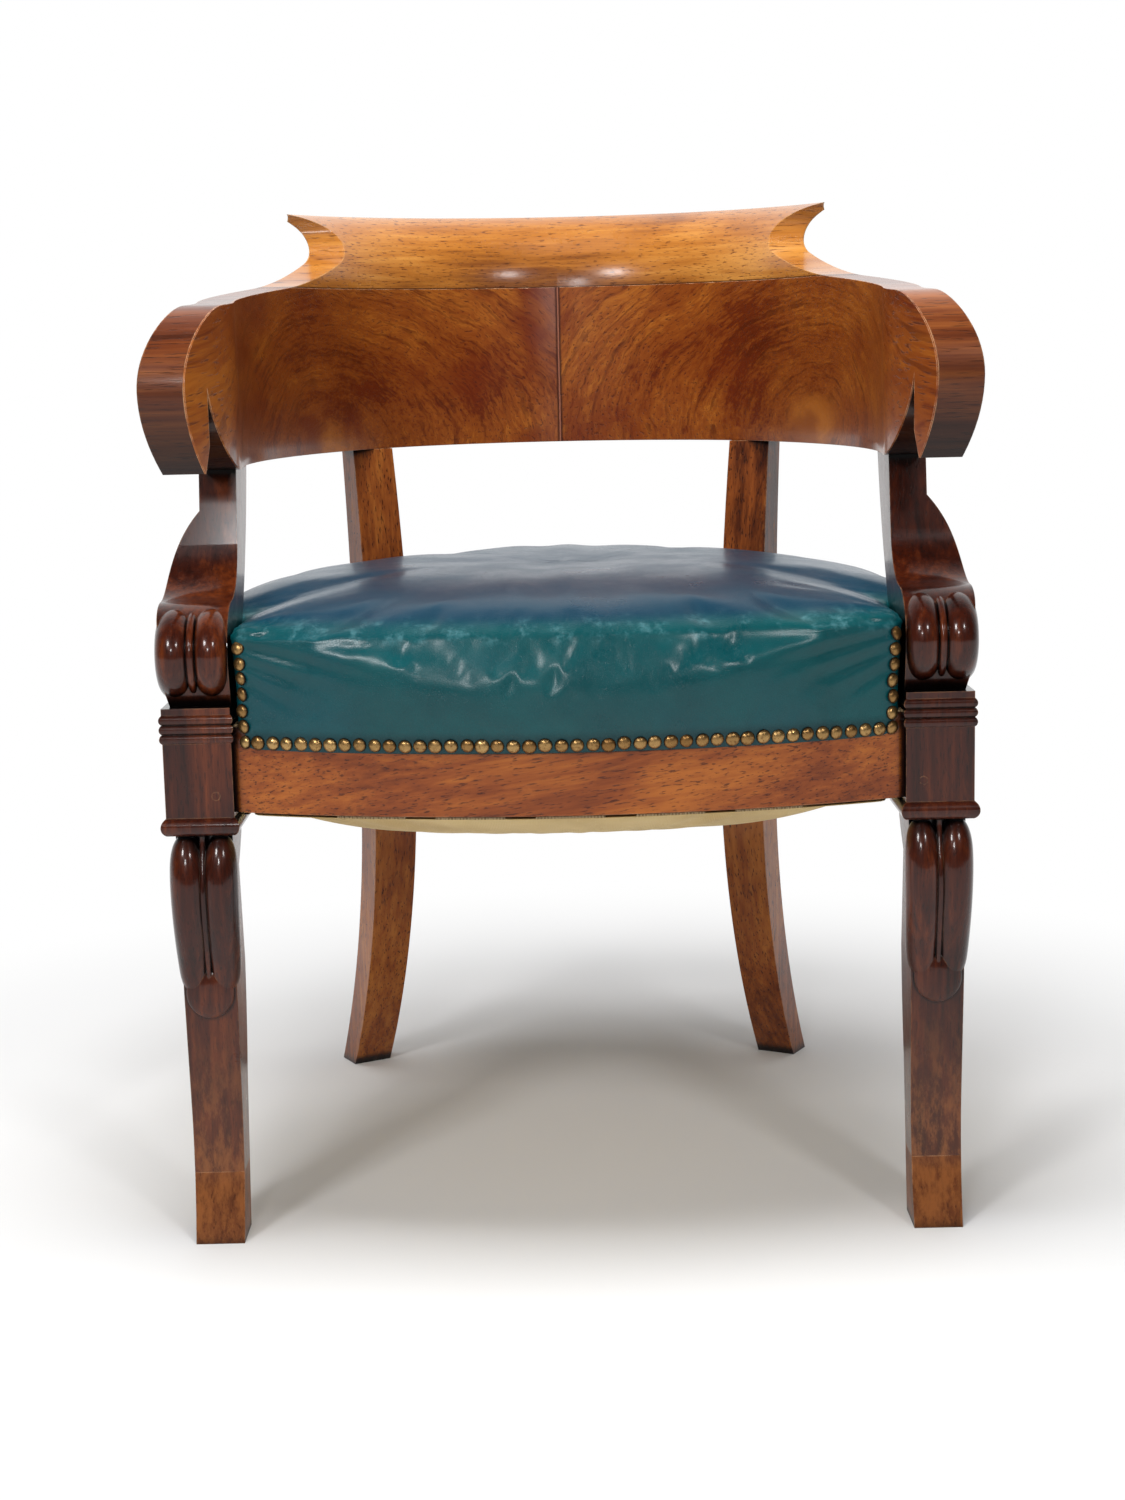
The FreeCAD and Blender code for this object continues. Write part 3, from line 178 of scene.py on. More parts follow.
def stretch(tree, vector, scale, turn=(0.0, 0.0, 0.0), shift=(0.0, 0.0, 0.0)):
    """Turn, scale and shift a vector with one Mapping node."""
    made = node(tree, "Mapping", {"Vector": vector, "Rotation": turn, "Scale": scale, "Location": shift})
    return made.outputs[0]


def group(name, inputs, outputs):
    """An empty node group with named sockets, and its input and output nodes."""
    tree = bpy.data.node_groups.new(name, "ShaderNodeTree")
    for way, sockets in (("INPUT", inputs), ("OUTPUT", outputs)):
        for label, (kind, start) in sockets.items():
            socket = tree.interface.new_socket(label, in_out=way, socket_type="NodeSocket" + kind)
            if start is not None:
                socket.default_value = start
    return tree, tree.nodes.new("NodeGroupInput").outputs, tree.nodes.new("NodeGroupOutput").inputs


def use(tree, shared, **values):
    """Place a shared group in a material; underscores in the names stand for spaces."""
    made = tree.nodes.new("ShaderNodeGroup")
    made.node_tree = shared
    for name, value in values.items():
        feed(tree, made.inputs[name.replace("_", " ").capitalize()], value)
    return made.outputs


def new_material(name):
    """A node material: its tree, its Principled shader and its Object coordinates."""
    material = bpy.data.materials.new(name)
    material.use_nodes = True
    tree = material.node_tree
    return material, tree, tree.nodes["Principled BSDF"], node(tree, "TexCoord").outputs["Object"]


def finish_surface(tree, shader, colour, roughness, height, bump, normal=None, **constants):
    """Feed the shader: colour, roughness, a bump of the height times a distance in metres, and constants."""
    values = {"Height": height, "Strength": 1.0, "Distance": bump}
    if normal is not None:
        values["Normal"] = normal
    feed(tree, shader.inputs["Normal"], node(tree, "Bump", values).outputs[0])
    feed(tree, shader.inputs["Base Color"], colour)
    feed(tree, shader.inputs["Roughness"], roughness)
    for name, value in constants.items():
        feed(tree, shader.inputs[name.replace("_", " ")], value)


print("node helpers ready")

# %% [markdown]
# Old mahogany shows three things at once: broad changes of tone across the board, fine streaks
# along the grain, and open pores that hold dark wax as short dashes. One group makes all three
# from a vector whose X runs along the grain, so every wooden piece can share it and only turn
# the vector. It puts out a colour and a height; the pores are sunk.


# %% Shared effect: mahogany grain
def make_grain():
    """Tone as a weighted sum of broad, banded and streaky noise, coloured in three steps, with sunk pores."""
    tree, given, result = group(
        "mahogany_grain",
        {"Vector": ("Vector", None), "Dark": ("Color", (0.05, 0.01, 0.004, 1)), "Body": ("Color", (0.2, 0.05, 0.01, 1)),
         "Light": ("Color", (0.4, 0.13, 0.02, 1)), "Pores": ("Float", 0.6), "Patches": ("Float", 7.0)},
        {"Color": ("Color", None), "Height": ("Float", None)})
    along = given["Vector"]
    broad = noise(tree, stretch(tree, along, (0.45, 1, 1)), given["Patches"], 3.0, 0.5, 0.6)
    streak = noise(tree, stretch(tree, along, (0.05, 1, 1)), 240.0, 4.0, 0.6, 0.15)
    band = noise(tree, stretch(tree, along, (0.12, 1, 1)), 38.0, 3.0, 0.55, 0.8)
    tone = weighted(tree, (streak, 0.3), (band, 0.35), (broad, 0.4))
    low = mix(tree, spread(tree, tone, 0.36, 0.54), given["Dark"], given["Body"])
    colour = mix(tree, spread(tree, tone, 0.5, 0.68), low, given["Light"])
    dash = noise(tree, stretch(tree, along, (0.13, 1, 1)), 850.0, 2.0, 0.5)
    pore = times(tree, spread(tree, dash, 0.57, 0.68), given["Pores"])
    feed(tree, result["Color"], mix(tree, pore, colour, given["Dark"], "MULTIPLY"))
    feed(tree, result["Height"], sums(tree, "SUBTRACT", times(tree, streak, 0.25), pore))
    return tree


grain_group = make_grain()
print("group", grain_group.name, "with", len(grain_group.nodes), "nodes")

# %% [markdown]
# Two centuries of hands and polish leave the same two marks on every edge: arrises are rubbed
# round and paler, and corners that no cloth reaches stay dark with dirt, here with painted shade
# laid in as well. The Bevel node gives the normal that a small rounding would have. Where it
# differs from the surface's own normal there is an edge, so the one node serves both for the
# rounded shine and for the mask of the wear. Seen almost edge on, the rounded normal could turn
# away from the eye, so it gives way there. The Ambient Occlusion node finds the recesses, which
# are darkened partly as dirt and partly as painted shade.


# %% Shared effect: rubbed edges, and recesses darkened as dirt and painted shade
def make_wear_and_shade():
    """Masks of rubbed edges and of recesses, darkened partly as dirt and partly as painted shade, and the normal of a
    rounded edge.
    """
    tree, given, result = group(
        "rubbed_edges_and_shade",
        {"Vector": ("Vector", None), "Rounding": ("Float", 0.0012), "Recess": ("Float", 0.012)},
        {"Edge": ("Float", None), "Dirt and shade": ("Float", None), "Normal": ("Vector", None)})
    rounded = node(tree, "Bevel", {"Radius": given["Rounding"]}, samples=6).outputs[0]
    geometry = node(tree, "NewGeometry").outputs
    facing = spread(tree, vectors(tree, "DOT_PRODUCT", rounded, geometry["Incoming"]), 0.02, 0.2)
    bend = sums(tree, "SUBTRACT", 1.0, vectors(tree, "DOT_PRODUCT", rounded, geometry["Normal"]))
    patchy = noise(tree, given["Vector"], 90.0, 4.0, 0.65)
    feed(tree, result["Edge"], times(tree, spread(tree, bend, 0.01, 0.14), spread(tree, patchy, 0.36, 0.62)))
    # Ambient occlusion darkens the recesses: partly dirt, partly painted shade.
    shade = node(tree, "AmbientOcclusion", {"Distance": given["Recess"]}, samples=8).outputs["AO"]
    feed(tree, result["Dirt and shade"], spread(tree, sums(tree, "SUBTRACT", 1.0, shade), 0.07, 0.5))
    feed(tree, result["Normal"], mix(tree, facing, geometry["True Normal"], rounded))
    return tree


wear_and_shade_group = make_wear_and_shade()
print("group", wear_and_shade_group.name, "with", len(wear_and_shade_group.nodes), "nodes")

# %% [markdown]
# Most of the wood needs only that grain, those rubbed edges and those recesses darkened as dirt
# and painted shade, in its own colours and with the grain running the way the piece was sawn: up the legs and consoles,
# round the back, along the rails.
# One function builds such a finish. A shellac polish is a thin clear coat over the wood, so the
# Principled shader gets a coat; scuffs make it duller. The rail wood that nobody sees has none.


# %% Finishes of solid wood
LENGTHWISE_UP = (0.0, math.pi / 2, 0.0)
LENGTHWISE_X = (0.0, 0.0, 0.0)
BACK_CENTRE_Y = 0.037
BACK_GIRTH = 0.24
WORN_HIGH, WORN_LOW = 0.2, 0.03
DARKEST_LEVEL, DARKENING_TOP, DARKENING_FRONT = 0.575, 0.665, -0.06


def unrolled(tree, place, side=1.0):
    """The curved back laid flat: X is the angle about the back's centre times a radius, Y is the height."""
    axes = axes_of(tree, place)
    angle = sums(tree, "ARCTAN2", times(tree, axes[0], side), sums(tree, "SUBTRACT", axes[1], BACK_CENTRE_Y))
    round_back = times(tree, angle, BACK_GIRTH)
    return node(tree, "CombineXYZ", {"X": round_back, "Y": axes[2], "Z": 0.0}).outputs[0]


def polished_wood(name, dark, body, light, turn=LENGTHWISE_UP, curved=False, pores=0.6, patches=7.0,
                  rub=(0.42, 0.2, 0.09), rounding=0.0014, recess=0.012, dull=0.24, coat=0.6,
                  scuffs=0.5, low_front_darkening=0.0, worm=0.0, worn_foot=0.0):
    """Grain in three tones, recesses darkened partly as dirt and partly as painted shade, rubbed edges and a
    shellac coat. Where asked for: feet worn bare, worm holes, and front ends darker towards the bottom."""
    material, tree, shader, place = new_material(name)
    along = unrolled(tree, place) if curved else stretch(tree, place, (1, 1, 1), turn)
    grain = use(tree, grain_group, vector=along, dark=dark, body=body, light=light, pores=pores, patches=patches)
    wear_and_shade = use(tree, wear_and_shade_group, vector=place, rounding=rounding, recess=recess)
    scuff = spread(tree, noise(tree, stretch(tree, along, (0.3, 1, 1)), 60.0, 6.0, 0.7, 0.4), 0.56, 0.7, 0.0, scuffs)
    colour = mix(tree, scuff, grain["Color"], light)
    axes = axes_of(tree, place)
    if worn_foot:
        flaked = noise(tree, stretch(tree, place, (1, 1, 0.35)), 75.0, 6.0, 0.75)
        near_floor = spread(tree, axes[2], WORN_HIGH, WORN_LOW)
        bare = times(tree, near_floor, spread(tree, flaked, 0.42, 0.62, 0.1, worn_foot))
        colour = mix(tree, bare, colour, (0.26, 0.085, 0.02))
    colour = mix(tree, wear_and_shade["Edge"], colour, rub)
    # Recesses found by ambient occlusion are darkened: partly wax dirt, partly painted shade.
    colour = mix(tree, wear_and_shade["Dirt and shade"], colour, tuple(0.12 * tone for tone in dark))
    if worm:
        spots = node(tree, "TexVoronoi", {"Vector": place, "Scale": 170.0}).outputs["Distance"]
        patch = spread(tree, noise(tree, place, 17.0), 0.56, 0.6, 0.0, worm)
        eaten = times(tree, spread(tree, spots, 0.17, 0.12), patch)
        colour = mix(tree, eaten, colour, (0.008, 0.003, 0.002))
    # Where asked for, the front ends turn darker towards the bottom.
    if low_front_darkening:
        forward = spread(tree, axes[1], 0.0, DARKENING_FRONT)
        low = times(tree, spread(tree, axes[2], DARKENING_TOP, DARKEST_LEVEL, 0.0, low_front_darkening), forward)
        colour = mix(tree, low, colour, (0.006, 0.002, 0.0015))
    smear = noise(tree, place, 35.0, 4.0, 0.6)
    rough = sums(tree, "MULTIPLY_ADD", smear, 0.22, sums(tree, "MULTIPLY_ADD", scuff, 0.25, dull))
    finish_surface(tree, shader, colour, rough, grain["Height"], 0.00025, wear_and_shade["Normal"],
                   Coat_Weight=coat, Coat_Roughness=0.12, Coat_IOR=1.4, Specular_IOR_Level=0.14)
    return material


carved_wood = polished_wood(
    "mahogany_carved", (0.007, 0.001, 0.0004), (0.042, 0.0062, 0.0017), (0.14, 0.028, 0.0056),
    rub=(0.26, 0.11, 0.045), scuffs=0.3, pores=0.45, dull=0.2, coat=0.8, recess=0.02, worn_foot=0.75)
spliced_wood = polished_wood(
    "mahogany_spliced", (0.035, 0.008, 0.003), (0.10, 0.026, 0.007), (0.22, 0.07, 0.018),
    dull=0.36, coat=0.3, worn_foot=0.8)
stile_wood = polished_wood(
    "mahogany_stile", (0.05, 0.01, 0.004), (0.24, 0.06, 0.012), (0.42, 0.14, 0.025), pores=0.8, worm=0.9)
board_wood = polished_wood(
    "mahogany_board", (0.02, 0.004, 0.002), (0.12, 0.028, 0.008), (0.28, 0.085, 0.02),
    curved=True, recess=0.03, low_front_darkening=0.92)
rail_veneer_wood = polished_wood(
    "mahogany_rail", (0.06, 0.009, 0.002), (0.225, 0.049, 0.0075), (0.40, 0.115, 0.016),
    turn=(0.0, 0.14, 0.0), patches=11.0, pores=0.7)
plain_wood = polished_wood(
    "rail_beech", (0.16, 0.08, 0.035), (0.3, 0.17, 0.08), (0.4, 0.25, 0.13),
    turn=LENGTHWISE_X, dull=0.55, coat=0.0)
print("solid woods:", [wood.name for wood in (carved_wood, spliced_wood, stile_wood, board_wood,
                                              rail_veneer_wood, plain_wood)])

# %% [markdown]
# The facing of the back is the show surface. Two leaves were cut from one crotch of the tree and
# opened like a book, so each has oval growth rings about a knot, low down towards the arm. A
# ring pattern is a distance from the knot: noise read along that distance alone gives uneven
# rings, and noise stretched round the knot gives the fibres that follow them.


# %% Figured facing of the back
# Each knot: distance round the back from the middle, height
KNOT_RIGHT, KNOT_LEFT = (0.331, 0.588), (0.29, 0.572)


def figured_veneer(name, side, seed, knot, darkness):
    """Rings about a knot on the unrolled back, with tonal patches, pores, seam line and pale rubbed edge."""
    material, tree, shader, place = new_material(name)
    flat = unrolled(tree, place, side)
    wear_and_shade = use(tree, wear_and_shade_group, vector=place, rounding=0.001, recess=0.006)
    wander = node(tree, "TexNoise", {"Vector": flat, "Scale": 11.0 + seed, "Detail": 4.0, "Roughness": 0.55})
    about_zero = vectors(tree, "SUBTRACT", wander.outputs["Color"], (0.5, 0.5, 0.5))
    shove = vectors(tree, "MULTIPLY", about_zero, (0.042, 0.022, 0.0))
    from_knot = vectors(tree, "SUBTRACT", vectors(tree, "ADD", flat, shove), (*knot, 0.0))
    oval = vectors(tree, "MULTIPLY", from_knot, (0.55, 1.0, 0.0))
    distance = vectors(tree, "LENGTH", oval)
    axes = axes_of(tree, oval)
    bearing = sums(tree, "ARCTAN2", axes[1], axes[0])
    ringwise = node(tree, "CombineXYZ", {"X": distance, "Y": bearing, "Z": float(seed)}).outputs[0]
    rings = noise(tree, stretch(tree, ringwise, (1.0, 0.012, 1.0)), 95.0, 3.0, 0.65)
    fibres = noise(tree, stretch(tree, ringwise, (1.0, 0.03, 1.0)), 520.0, 3.0, 0.6)
    flecks = noise(tree, stretch(tree, ringwise, (1.0, 0.05, 1.0)), 900.0, 2.0, 0.5)
    broad = noise(tree, stretch(tree, flat, (0.8, 1.3, 1.0), shift=(seed, 0.0, 0.0)), 9.0, 3.0, 0.55, 0.5)
    tone = weighted(tree, (rings, 0.34), (fibres, 0.30), (broad, 0.38))
    deep = mix(tree, spread(tree, tone, 0.40, 0.51), (0.12, 0.018, 0.0035), (0.235, 0.054, 0.0075))
    colour = mix(tree, spread(tree, tone, 0.50, 0.66), deep, (0.38, 0.115, 0.0145))
    for scale, start, strength in ((330.0, 0.56, 0.5), (120.0, 0.61, 0.65)):
        lines = noise(tree, stretch(tree, ringwise, (1.0, 0.006, 1.0)), scale, 2.0, 0.5)
        broken = spread(tree, noise(tree, flat, 60.0, 3.0), 0.36, 0.6, 0.15, strength)
        drawn = times(tree, spread(tree, lines, start, start + 0.06), broken)
        colour = mix(tree, drawn, colour, (0.07, 0.011, 0.003))
    heart = spread(tree, distance, 0.010, 0.034, 0.65, 0.0)
    red = noise(tree, stretch(tree, flat, (0.7, 1.0, 1.0), shift=(0.0, seed, 0.0)), 14.0, 2.0, 0.5, 0.7)
    pores = spread(tree, flecks, 0.56, 0.7, 0.0, 0.75)
    colour = layered(tree, colour, (heart, (0.52, 0.17, 0.022)),
                     (spread(tree, red, 0.5, 0.7, 0.0, darkness), (0.135, 0.018, 0.004)),
                     (pores, (0.06, 0.012, 0.005)), (wear_and_shade["Edge"], (0.62, 0.36, 0.2)))
    across, _, height = axes_of(tree, place)
    wobble = sums(tree, "MULTIPLY_ADD", noise(tree, place, 60.0, 2.0), 0.001, -0.0005)
    from_seam = sums(tree, "ABSOLUTE", sums(tree, "ADD", across, wobble))
    # On the left leaf, beside the seam and high on the back, a pale lilac painted sheen lies over the wood.
    if side < 0:
        beside = times(tree, spread(tree, from_seam, 0.034, 0.004), spread(tree, height, 0.6, 0.67, 0.12, 0.5))
        painted_sheen = times(tree, beside, spread(tree, broad, 0.3, 0.6))
        colour = mix(tree, painted_sheen, colour, (0.25, 0.135, 0.115))
    colour = layered(tree, colour, (spread(tree, from_seam, 0.0012, 0.0034, 0.85, 0.0), (0.03, 0.006, 0.003)),
                     (spread(tree, from_seam, 0.0003, 0.0009, 0.7, 0.0), (0.46, 0.17, 0.1)))
    rough = sums(tree, "MULTIPLY_ADD", noise(tree, place, 28.0, 3.0), 0.2, 0.22)
    relief = sums(tree, "SUBTRACT", times(tree, fibres, 0.3), pores)
    finish_surface(tree, shader, colour, rough, relief, 0.0002, wear_and_shade["Normal"],
                   Coat_Weight=0.5, Coat_Roughness=0.14, Coat_IOR=1.4, Specular_IOR_Level=0.14)
    return material


veneer_right = figured_veneer("mahogany_veneer_right", 1.0, 0.0, KNOT_RIGHT, 0.55)
veneer_left = figured_veneer("mahogany_veneer_left", -1.0, 3.7, KNOT_LEFT, 0.75)
print("facings:", veneer_right.name, veneer_left.name)

# %% [markdown]
# The crest was cut from a straighter, paler plank. It is honey coloured where light falls on the
# roll, with thick-set short pores and a brown line of old glue along the seam below it.


# %% Honey crest
SEAM_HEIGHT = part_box("crest_rail")[0].z


def honey_crest():
    """Pale grain round the crest, close pores, and darkening towards the glue seam."""
    material, tree, shader, place = new_material("mahogany_crest")
    flat = unrolled(tree, place)
    grain = use(tree, grain_group, vector=flat, dark=(0.16, 0.045, 0.008), body=(0.36, 0.125, 0.018),
                light=(0.52, 0.225, 0.045), pores=0.75, patches=8.0)
    wear_and_shade = use(tree, wear_and_shade_group, vector=place, rounding=0.0016, recess=0.006)
    height = axes_of(tree, place)[2]
    seam = spread(tree, height, SEAM_HEIGHT + 0.0004, SEAM_HEIGHT + 0.0016, 0.85, 0.0)
    colour = layered(tree, grain["Color"], (wear_and_shade["Edge"], (0.58, 0.3, 0.09)), (seam, (0.05, 0.012, 0.005)))
    rough = sums(tree, "MULTIPLY_ADD", noise(tree, place, 40.0, 3.0), 0.18, 0.2)
    finish_surface(tree, shader, colour, rough, grain["Height"], 0.0002, wear_and_shade["Normal"],
                   Coat_Weight=0.8, Coat_Roughness=0.2, Coat_IOR=1.4, Specular_IOR_Level=0.2)
    return material


crest_wood = honey_crest()
print("crest:", crest_wood.name)

# %% [markdown]
# The seat is leather pulled over a domed stuffing and nailed to the rails. Its plan is made of
# arcs: a bowed front, two long sides and a round back, with corners cut out for the consoles
# and the rear stiles. A plan like this is easy to hold as a polar outline: from one point in
# the middle, every direction has one distance to the edge.

# %% Plan of the seat
SEAT_MIDDLE = np.array([0.0, -0.03])
SPOKES = 400
turn_angles = np.linspace(0, 2 * np.pi, SPOKES, endpoint=False)
ways = np.stack([np.cos(turn_angles), np.sin(turn_angles)], 1)

PLAN_ARCS = (((0.0, 0.411), 0.7059), ((-0.4179, -0.2086), 0.7099), ((0.4179, -0.2086), 0.7099))
BACK_ARC = ((0.0, -0.0399), 0.2679)
CONSOLE_INNER, CONSOLE_BACK, CONSOLE_TOP_BACK = 0.2436, -0.198, -0.143
CONSOLE_LEVELS = (0.407, 0.484)
STILE_FOOT, STILE_TURN = np.array([0.155, 0.145]), math.radians(29)
STILE_HALF, STILE_SWEEP, STILE_BASE, STILE_CLEAR = 0.0222, 1.692, 0.29, 0.001
BORDER_LEVEL, ON_PLAN = 0.43, 0.002
FAR_AWAY, TINY = 9.0, 1e-6


def arc_distance(centre, radius):
    """Distance along every spoke to a circle that holds the middle point inside."""
    offset = SEAT_MIDDLE - np.array(centre)
    along = ways @ offset
    return -along + np.sqrt(along ** 2 - offset @ offset + radius ** 2)


def console_distance(level):
    """Distance along every spoke to the corner cut out for a console, whose back edge leans."""
    lean = np.clip((level - CONSOLE_LEVELS[0]) / (CONSOLE_LEVELS[1] - CONSOLE_LEVELS[0]), 0, 1)
    back = CONSOLE_BACK + lean * (CONSOLE_TOP_BACK - CONSOLE_BACK)
    side = CONSOLE_INNER / np.maximum(np.abs(ways[:, 0]), TINY)
    down = (SEAT_MIDDLE[1] - back) / np.maximum(-ways[:, 1], TINY)
    return np.where(ways[:, 1] < 0, np.maximum(side, down), FAR_AWAY)


def stile_distance(level):
    """Distance along every spoke to the stile that stands turned at each rear corner."""
    across = np.array([math.cos(STILE_TURN), -math.sin(STILE_TURN)])
    outward = np.array([math.sin(STILE_TURN), math.cos(STILE_TURN)])
    mirrored = np.column_stack([np.abs(ways[:, 0]), ways[:, 1]])
    start = SEAT_MIDDLE - STILE_FOOT
    face = STILE_SWEEP - math.sqrt(STILE_SWEEP ** 2 - (level - STILE_BASE) ** 2) - STILE_CLEAR
    speed_across, speed_out = mirrored @ across, mirrored @ outward
    hit_face = (face - start @ outward) / np.maximum(speed_out, TINY)
    at_face = start @ across + hit_face * speed_across
    edge = np.where(speed_across > 0, -STILE_HALF, STILE_HALF)
    hit_side = (edge - start @ across) / np.where(np.abs(speed_across) < TINY, TINY, speed_across)
    side_counts = (hit_side > 0) & (start @ outward + hit_side * speed_out > face)
    reach = np.where((np.abs(at_face) <= STILE_HALF) & (speed_out > 0), hit_face, FAR_AWAY)
    return np.minimum(reach, np.where(side_counts, hit_side, FAR_AWAY))


def ring_at(radius, level):
    """A ring of places: out from the middle by one radius per spoke, at one level or one level per spoke."""
    return np.column_stack([SEAT_MIDDLE + ways * radius[:, None], np.broadcast_to(level, SPOKES)])


def rounded_ring(values, reach):
    """Round the corners of a polar outline: the least of the neighbours, then their mean."""
    steps = range(-reach, reach + 1)
    least = np.min([np.roll(values, step) for step in steps], axis=0)
    return np.mean([np.roll(least, step) for step in steps], axis=0)


def plain_outline():
    """The plan before its corners are cut; the back arc counts only behind the middle."""
    sides = np.min([arc_distance(*arc) for arc in PLAN_ARCS], axis=0)
    return np.where(ways[:, 1] > 0, np.minimum(sides, arc_distance(*BACK_ARC)), sides)


def seat_outline(level):
    """Distance from the middle to the seat's edge along every spoke at one level."""
    plain = plain_outline()
    cut = np.minimum(console_distance(level), stile_distance(level))
    return np.minimum(plain, rounded_ring(np.minimum(plain, cut), 1))


def free_edge(reach):
    """Near 1 where the edge follows the plan arcs and 0 beside a console or a stile."""
    plain = plain_outline()
    free = (plain - seat_outline(BORDER_LEVEL) < ON_PLAN).astype(float)
    return rounded_ring(free, reach)


print("seat plan", SPOKES, "spokes, widest", round(float(seat_outline(BORDER_LEVEL).max()), 3), "m")

# %% [markdown]
# The leather is one closed skin of rings. It starts under the stuffing, turns round the lower
# edge that the nails hold, bulges up the border, rolls over the ridge and closes on the crown.
# A first shape like this is smooth; the cloth pass after it lets the skin find its own slack.

# %% Leather skin as rings
LEATHER_LOW, LEATHER_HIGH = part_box("leather_cover")
EDGE_LEVEL, CROWN_LEVEL = LEATHER_LOW.z, LEATHER_HIGH.z
NAIL_LEVEL, RIDGE_LEVEL, UNDER_LEVEL, BORDER_BULGE = 0.381, 0.4555, 0.3945, 0.0062
HELD_RINGS = 8


def seat_rings():
    """Rings of (inset along the spoke, level, share of the full radius, share of the bulge), from underneath
    to the crown. The border bulges as half a sine of its height and leans out a little. The ridge is a quarter
    turn. The crown rises as 1 - (1 - q)^4.4, where q runs from 0 at the ridge to 1 at the middle."""
    rings = [(0.0, UNDER_LEVEL, share, 0.0) for share in (0.15, 0.45, 0.75, 0.93)]
    rings += [(0.0019, level, 1.0, 0.0) for level in (UNDER_LEVEL, 0.386, EDGE_LEVEL + 0.001)]
    rings += [(0.0006, EDGE_LEVEL, 1.0, 0.0)]
    for step in np.linspace(0, 1, 19):
        bulge = math.sin(math.pi * step ** 1.15) ** 0.9 if 0 < step < 1 else 0.0
        level = EDGE_LEVEL + 0.0012 + (RIDGE_LEVEL - EDGE_LEVEL) * step
        rings.append((-0.0003 - 0.45 * BORDER_BULGE * step, level, 1.0, bulge))
    for turn in np.linspace(0.2, 1.0, 6):
        angle = turn * math.pi / 2
        level = RIDGE_LEVEL + 0.0012 + 0.0095 * math.sin(angle)
        rings.append((-0.0028 + 0.013 * (1 - math.cos(angle)), level, 1.0, 0.0))
    low = RIDGE_LEVEL + 0.0107
    for share in np.linspace(0.03, 0.96, 27) ** 1.1:
        rings.append((0.0102, low + (CROWN_LEVEL - low) * (1 - (1 - share) ** 4.4), 1.0 - share, 0.0))
    return rings


def seat_skin():
    """Vertices and faces of the closed skin: every ring at its own outline, and a cap at each end."""
    bulging = free_edge(9)
    rows = []
    for inset, level, share, bulge in seat_rings():
        radius = (seat_outline(min(level, RIDGE_LEVEL)) - inset + BORDER_BULGE * bulge * bulging) * share
        rows.append(ring_at(radius, level))
    points = np.concatenate(rows)
    ends = np.array([[*SEAT_MIDDLE, UNDER_LEVEL], [*SEAT_MIDDLE, CROWN_LEVEL]])
    return np.concatenate([points, ends]), ring_faces(len(rows), SPOKES, caps=True)


def ring_faces(rings, around, caps):
    """Quads between neighbouring rings; with caps, triangles to two end points after the rings."""
    row, column = np.meshgrid(np.arange(rings - 1), np.arange(around), indexing="ij")
    here, beside = row * around + column, row * around + (column + 1) % around
    faces = np.stack([here, beside, beside + around, here + around], -1).reshape(-1, 4).tolist()
    if caps:
        first, last, count = np.arange(around), (rings - 1) * around + np.arange(around), rings * around
        faces += np.column_stack([np.roll(first, -1), first, np.full(around, count)]).tolist()
        faces += np.column_stack([last, np.roll(last, -1), np.full(around, count + 1)]).tolist()
    return faces


def doubled(grid):
    """Twice as many spokes and rings: each new place weighs its four neighbours -1, 9, 9 and -1."""
    between = (9 * (grid + np.roll(grid, -1, 1)) - np.roll(grid, 1, 1) - np.roll(grid, -2, 1)) / 16
    grid = np.stack([grid, between], 2).reshape(len(grid), -1, 3)
    padded_grid = np.concatenate([grid[:1], grid, grid[-1:]])
    between = (9 * (padded_grid[1:-2] + padded_grid[2:-1]) - padded_grid[:-3] - padded_grid[3:]) / 16
    rows = np.empty((2 * len(grid) - 1, grid.shape[1], 3))
    rows[0::2], rows[1::2] = grid, between
    return rows


def new_piece(name, points, faces, finish):
    """A mesh object at the origin with one finish, smooth shaded."""
    mesh = bpy.data.meshes.new(name)
    mesh.from_pydata(points, [], faces)
    mesh.polygons.foreach_set("use_smooth", np.full(len(mesh.polygons), True))
    mesh.materials.append(finish)
    piece = bpy.data.objects.new(name, mesh)
    scene.collection.objects.link(piece)
    return piece


def vertex_array(mesh, what="co"):
    """The places ("co") or the normals ("normal") of all vertices as one array."""
    flat = np.empty(len(mesh.vertices) * 3)
    mesh.vertices.foreach_get(what, flat)
    return flat.reshape(-1, 3)


print("skin of", len(seat_rings()), "rings")
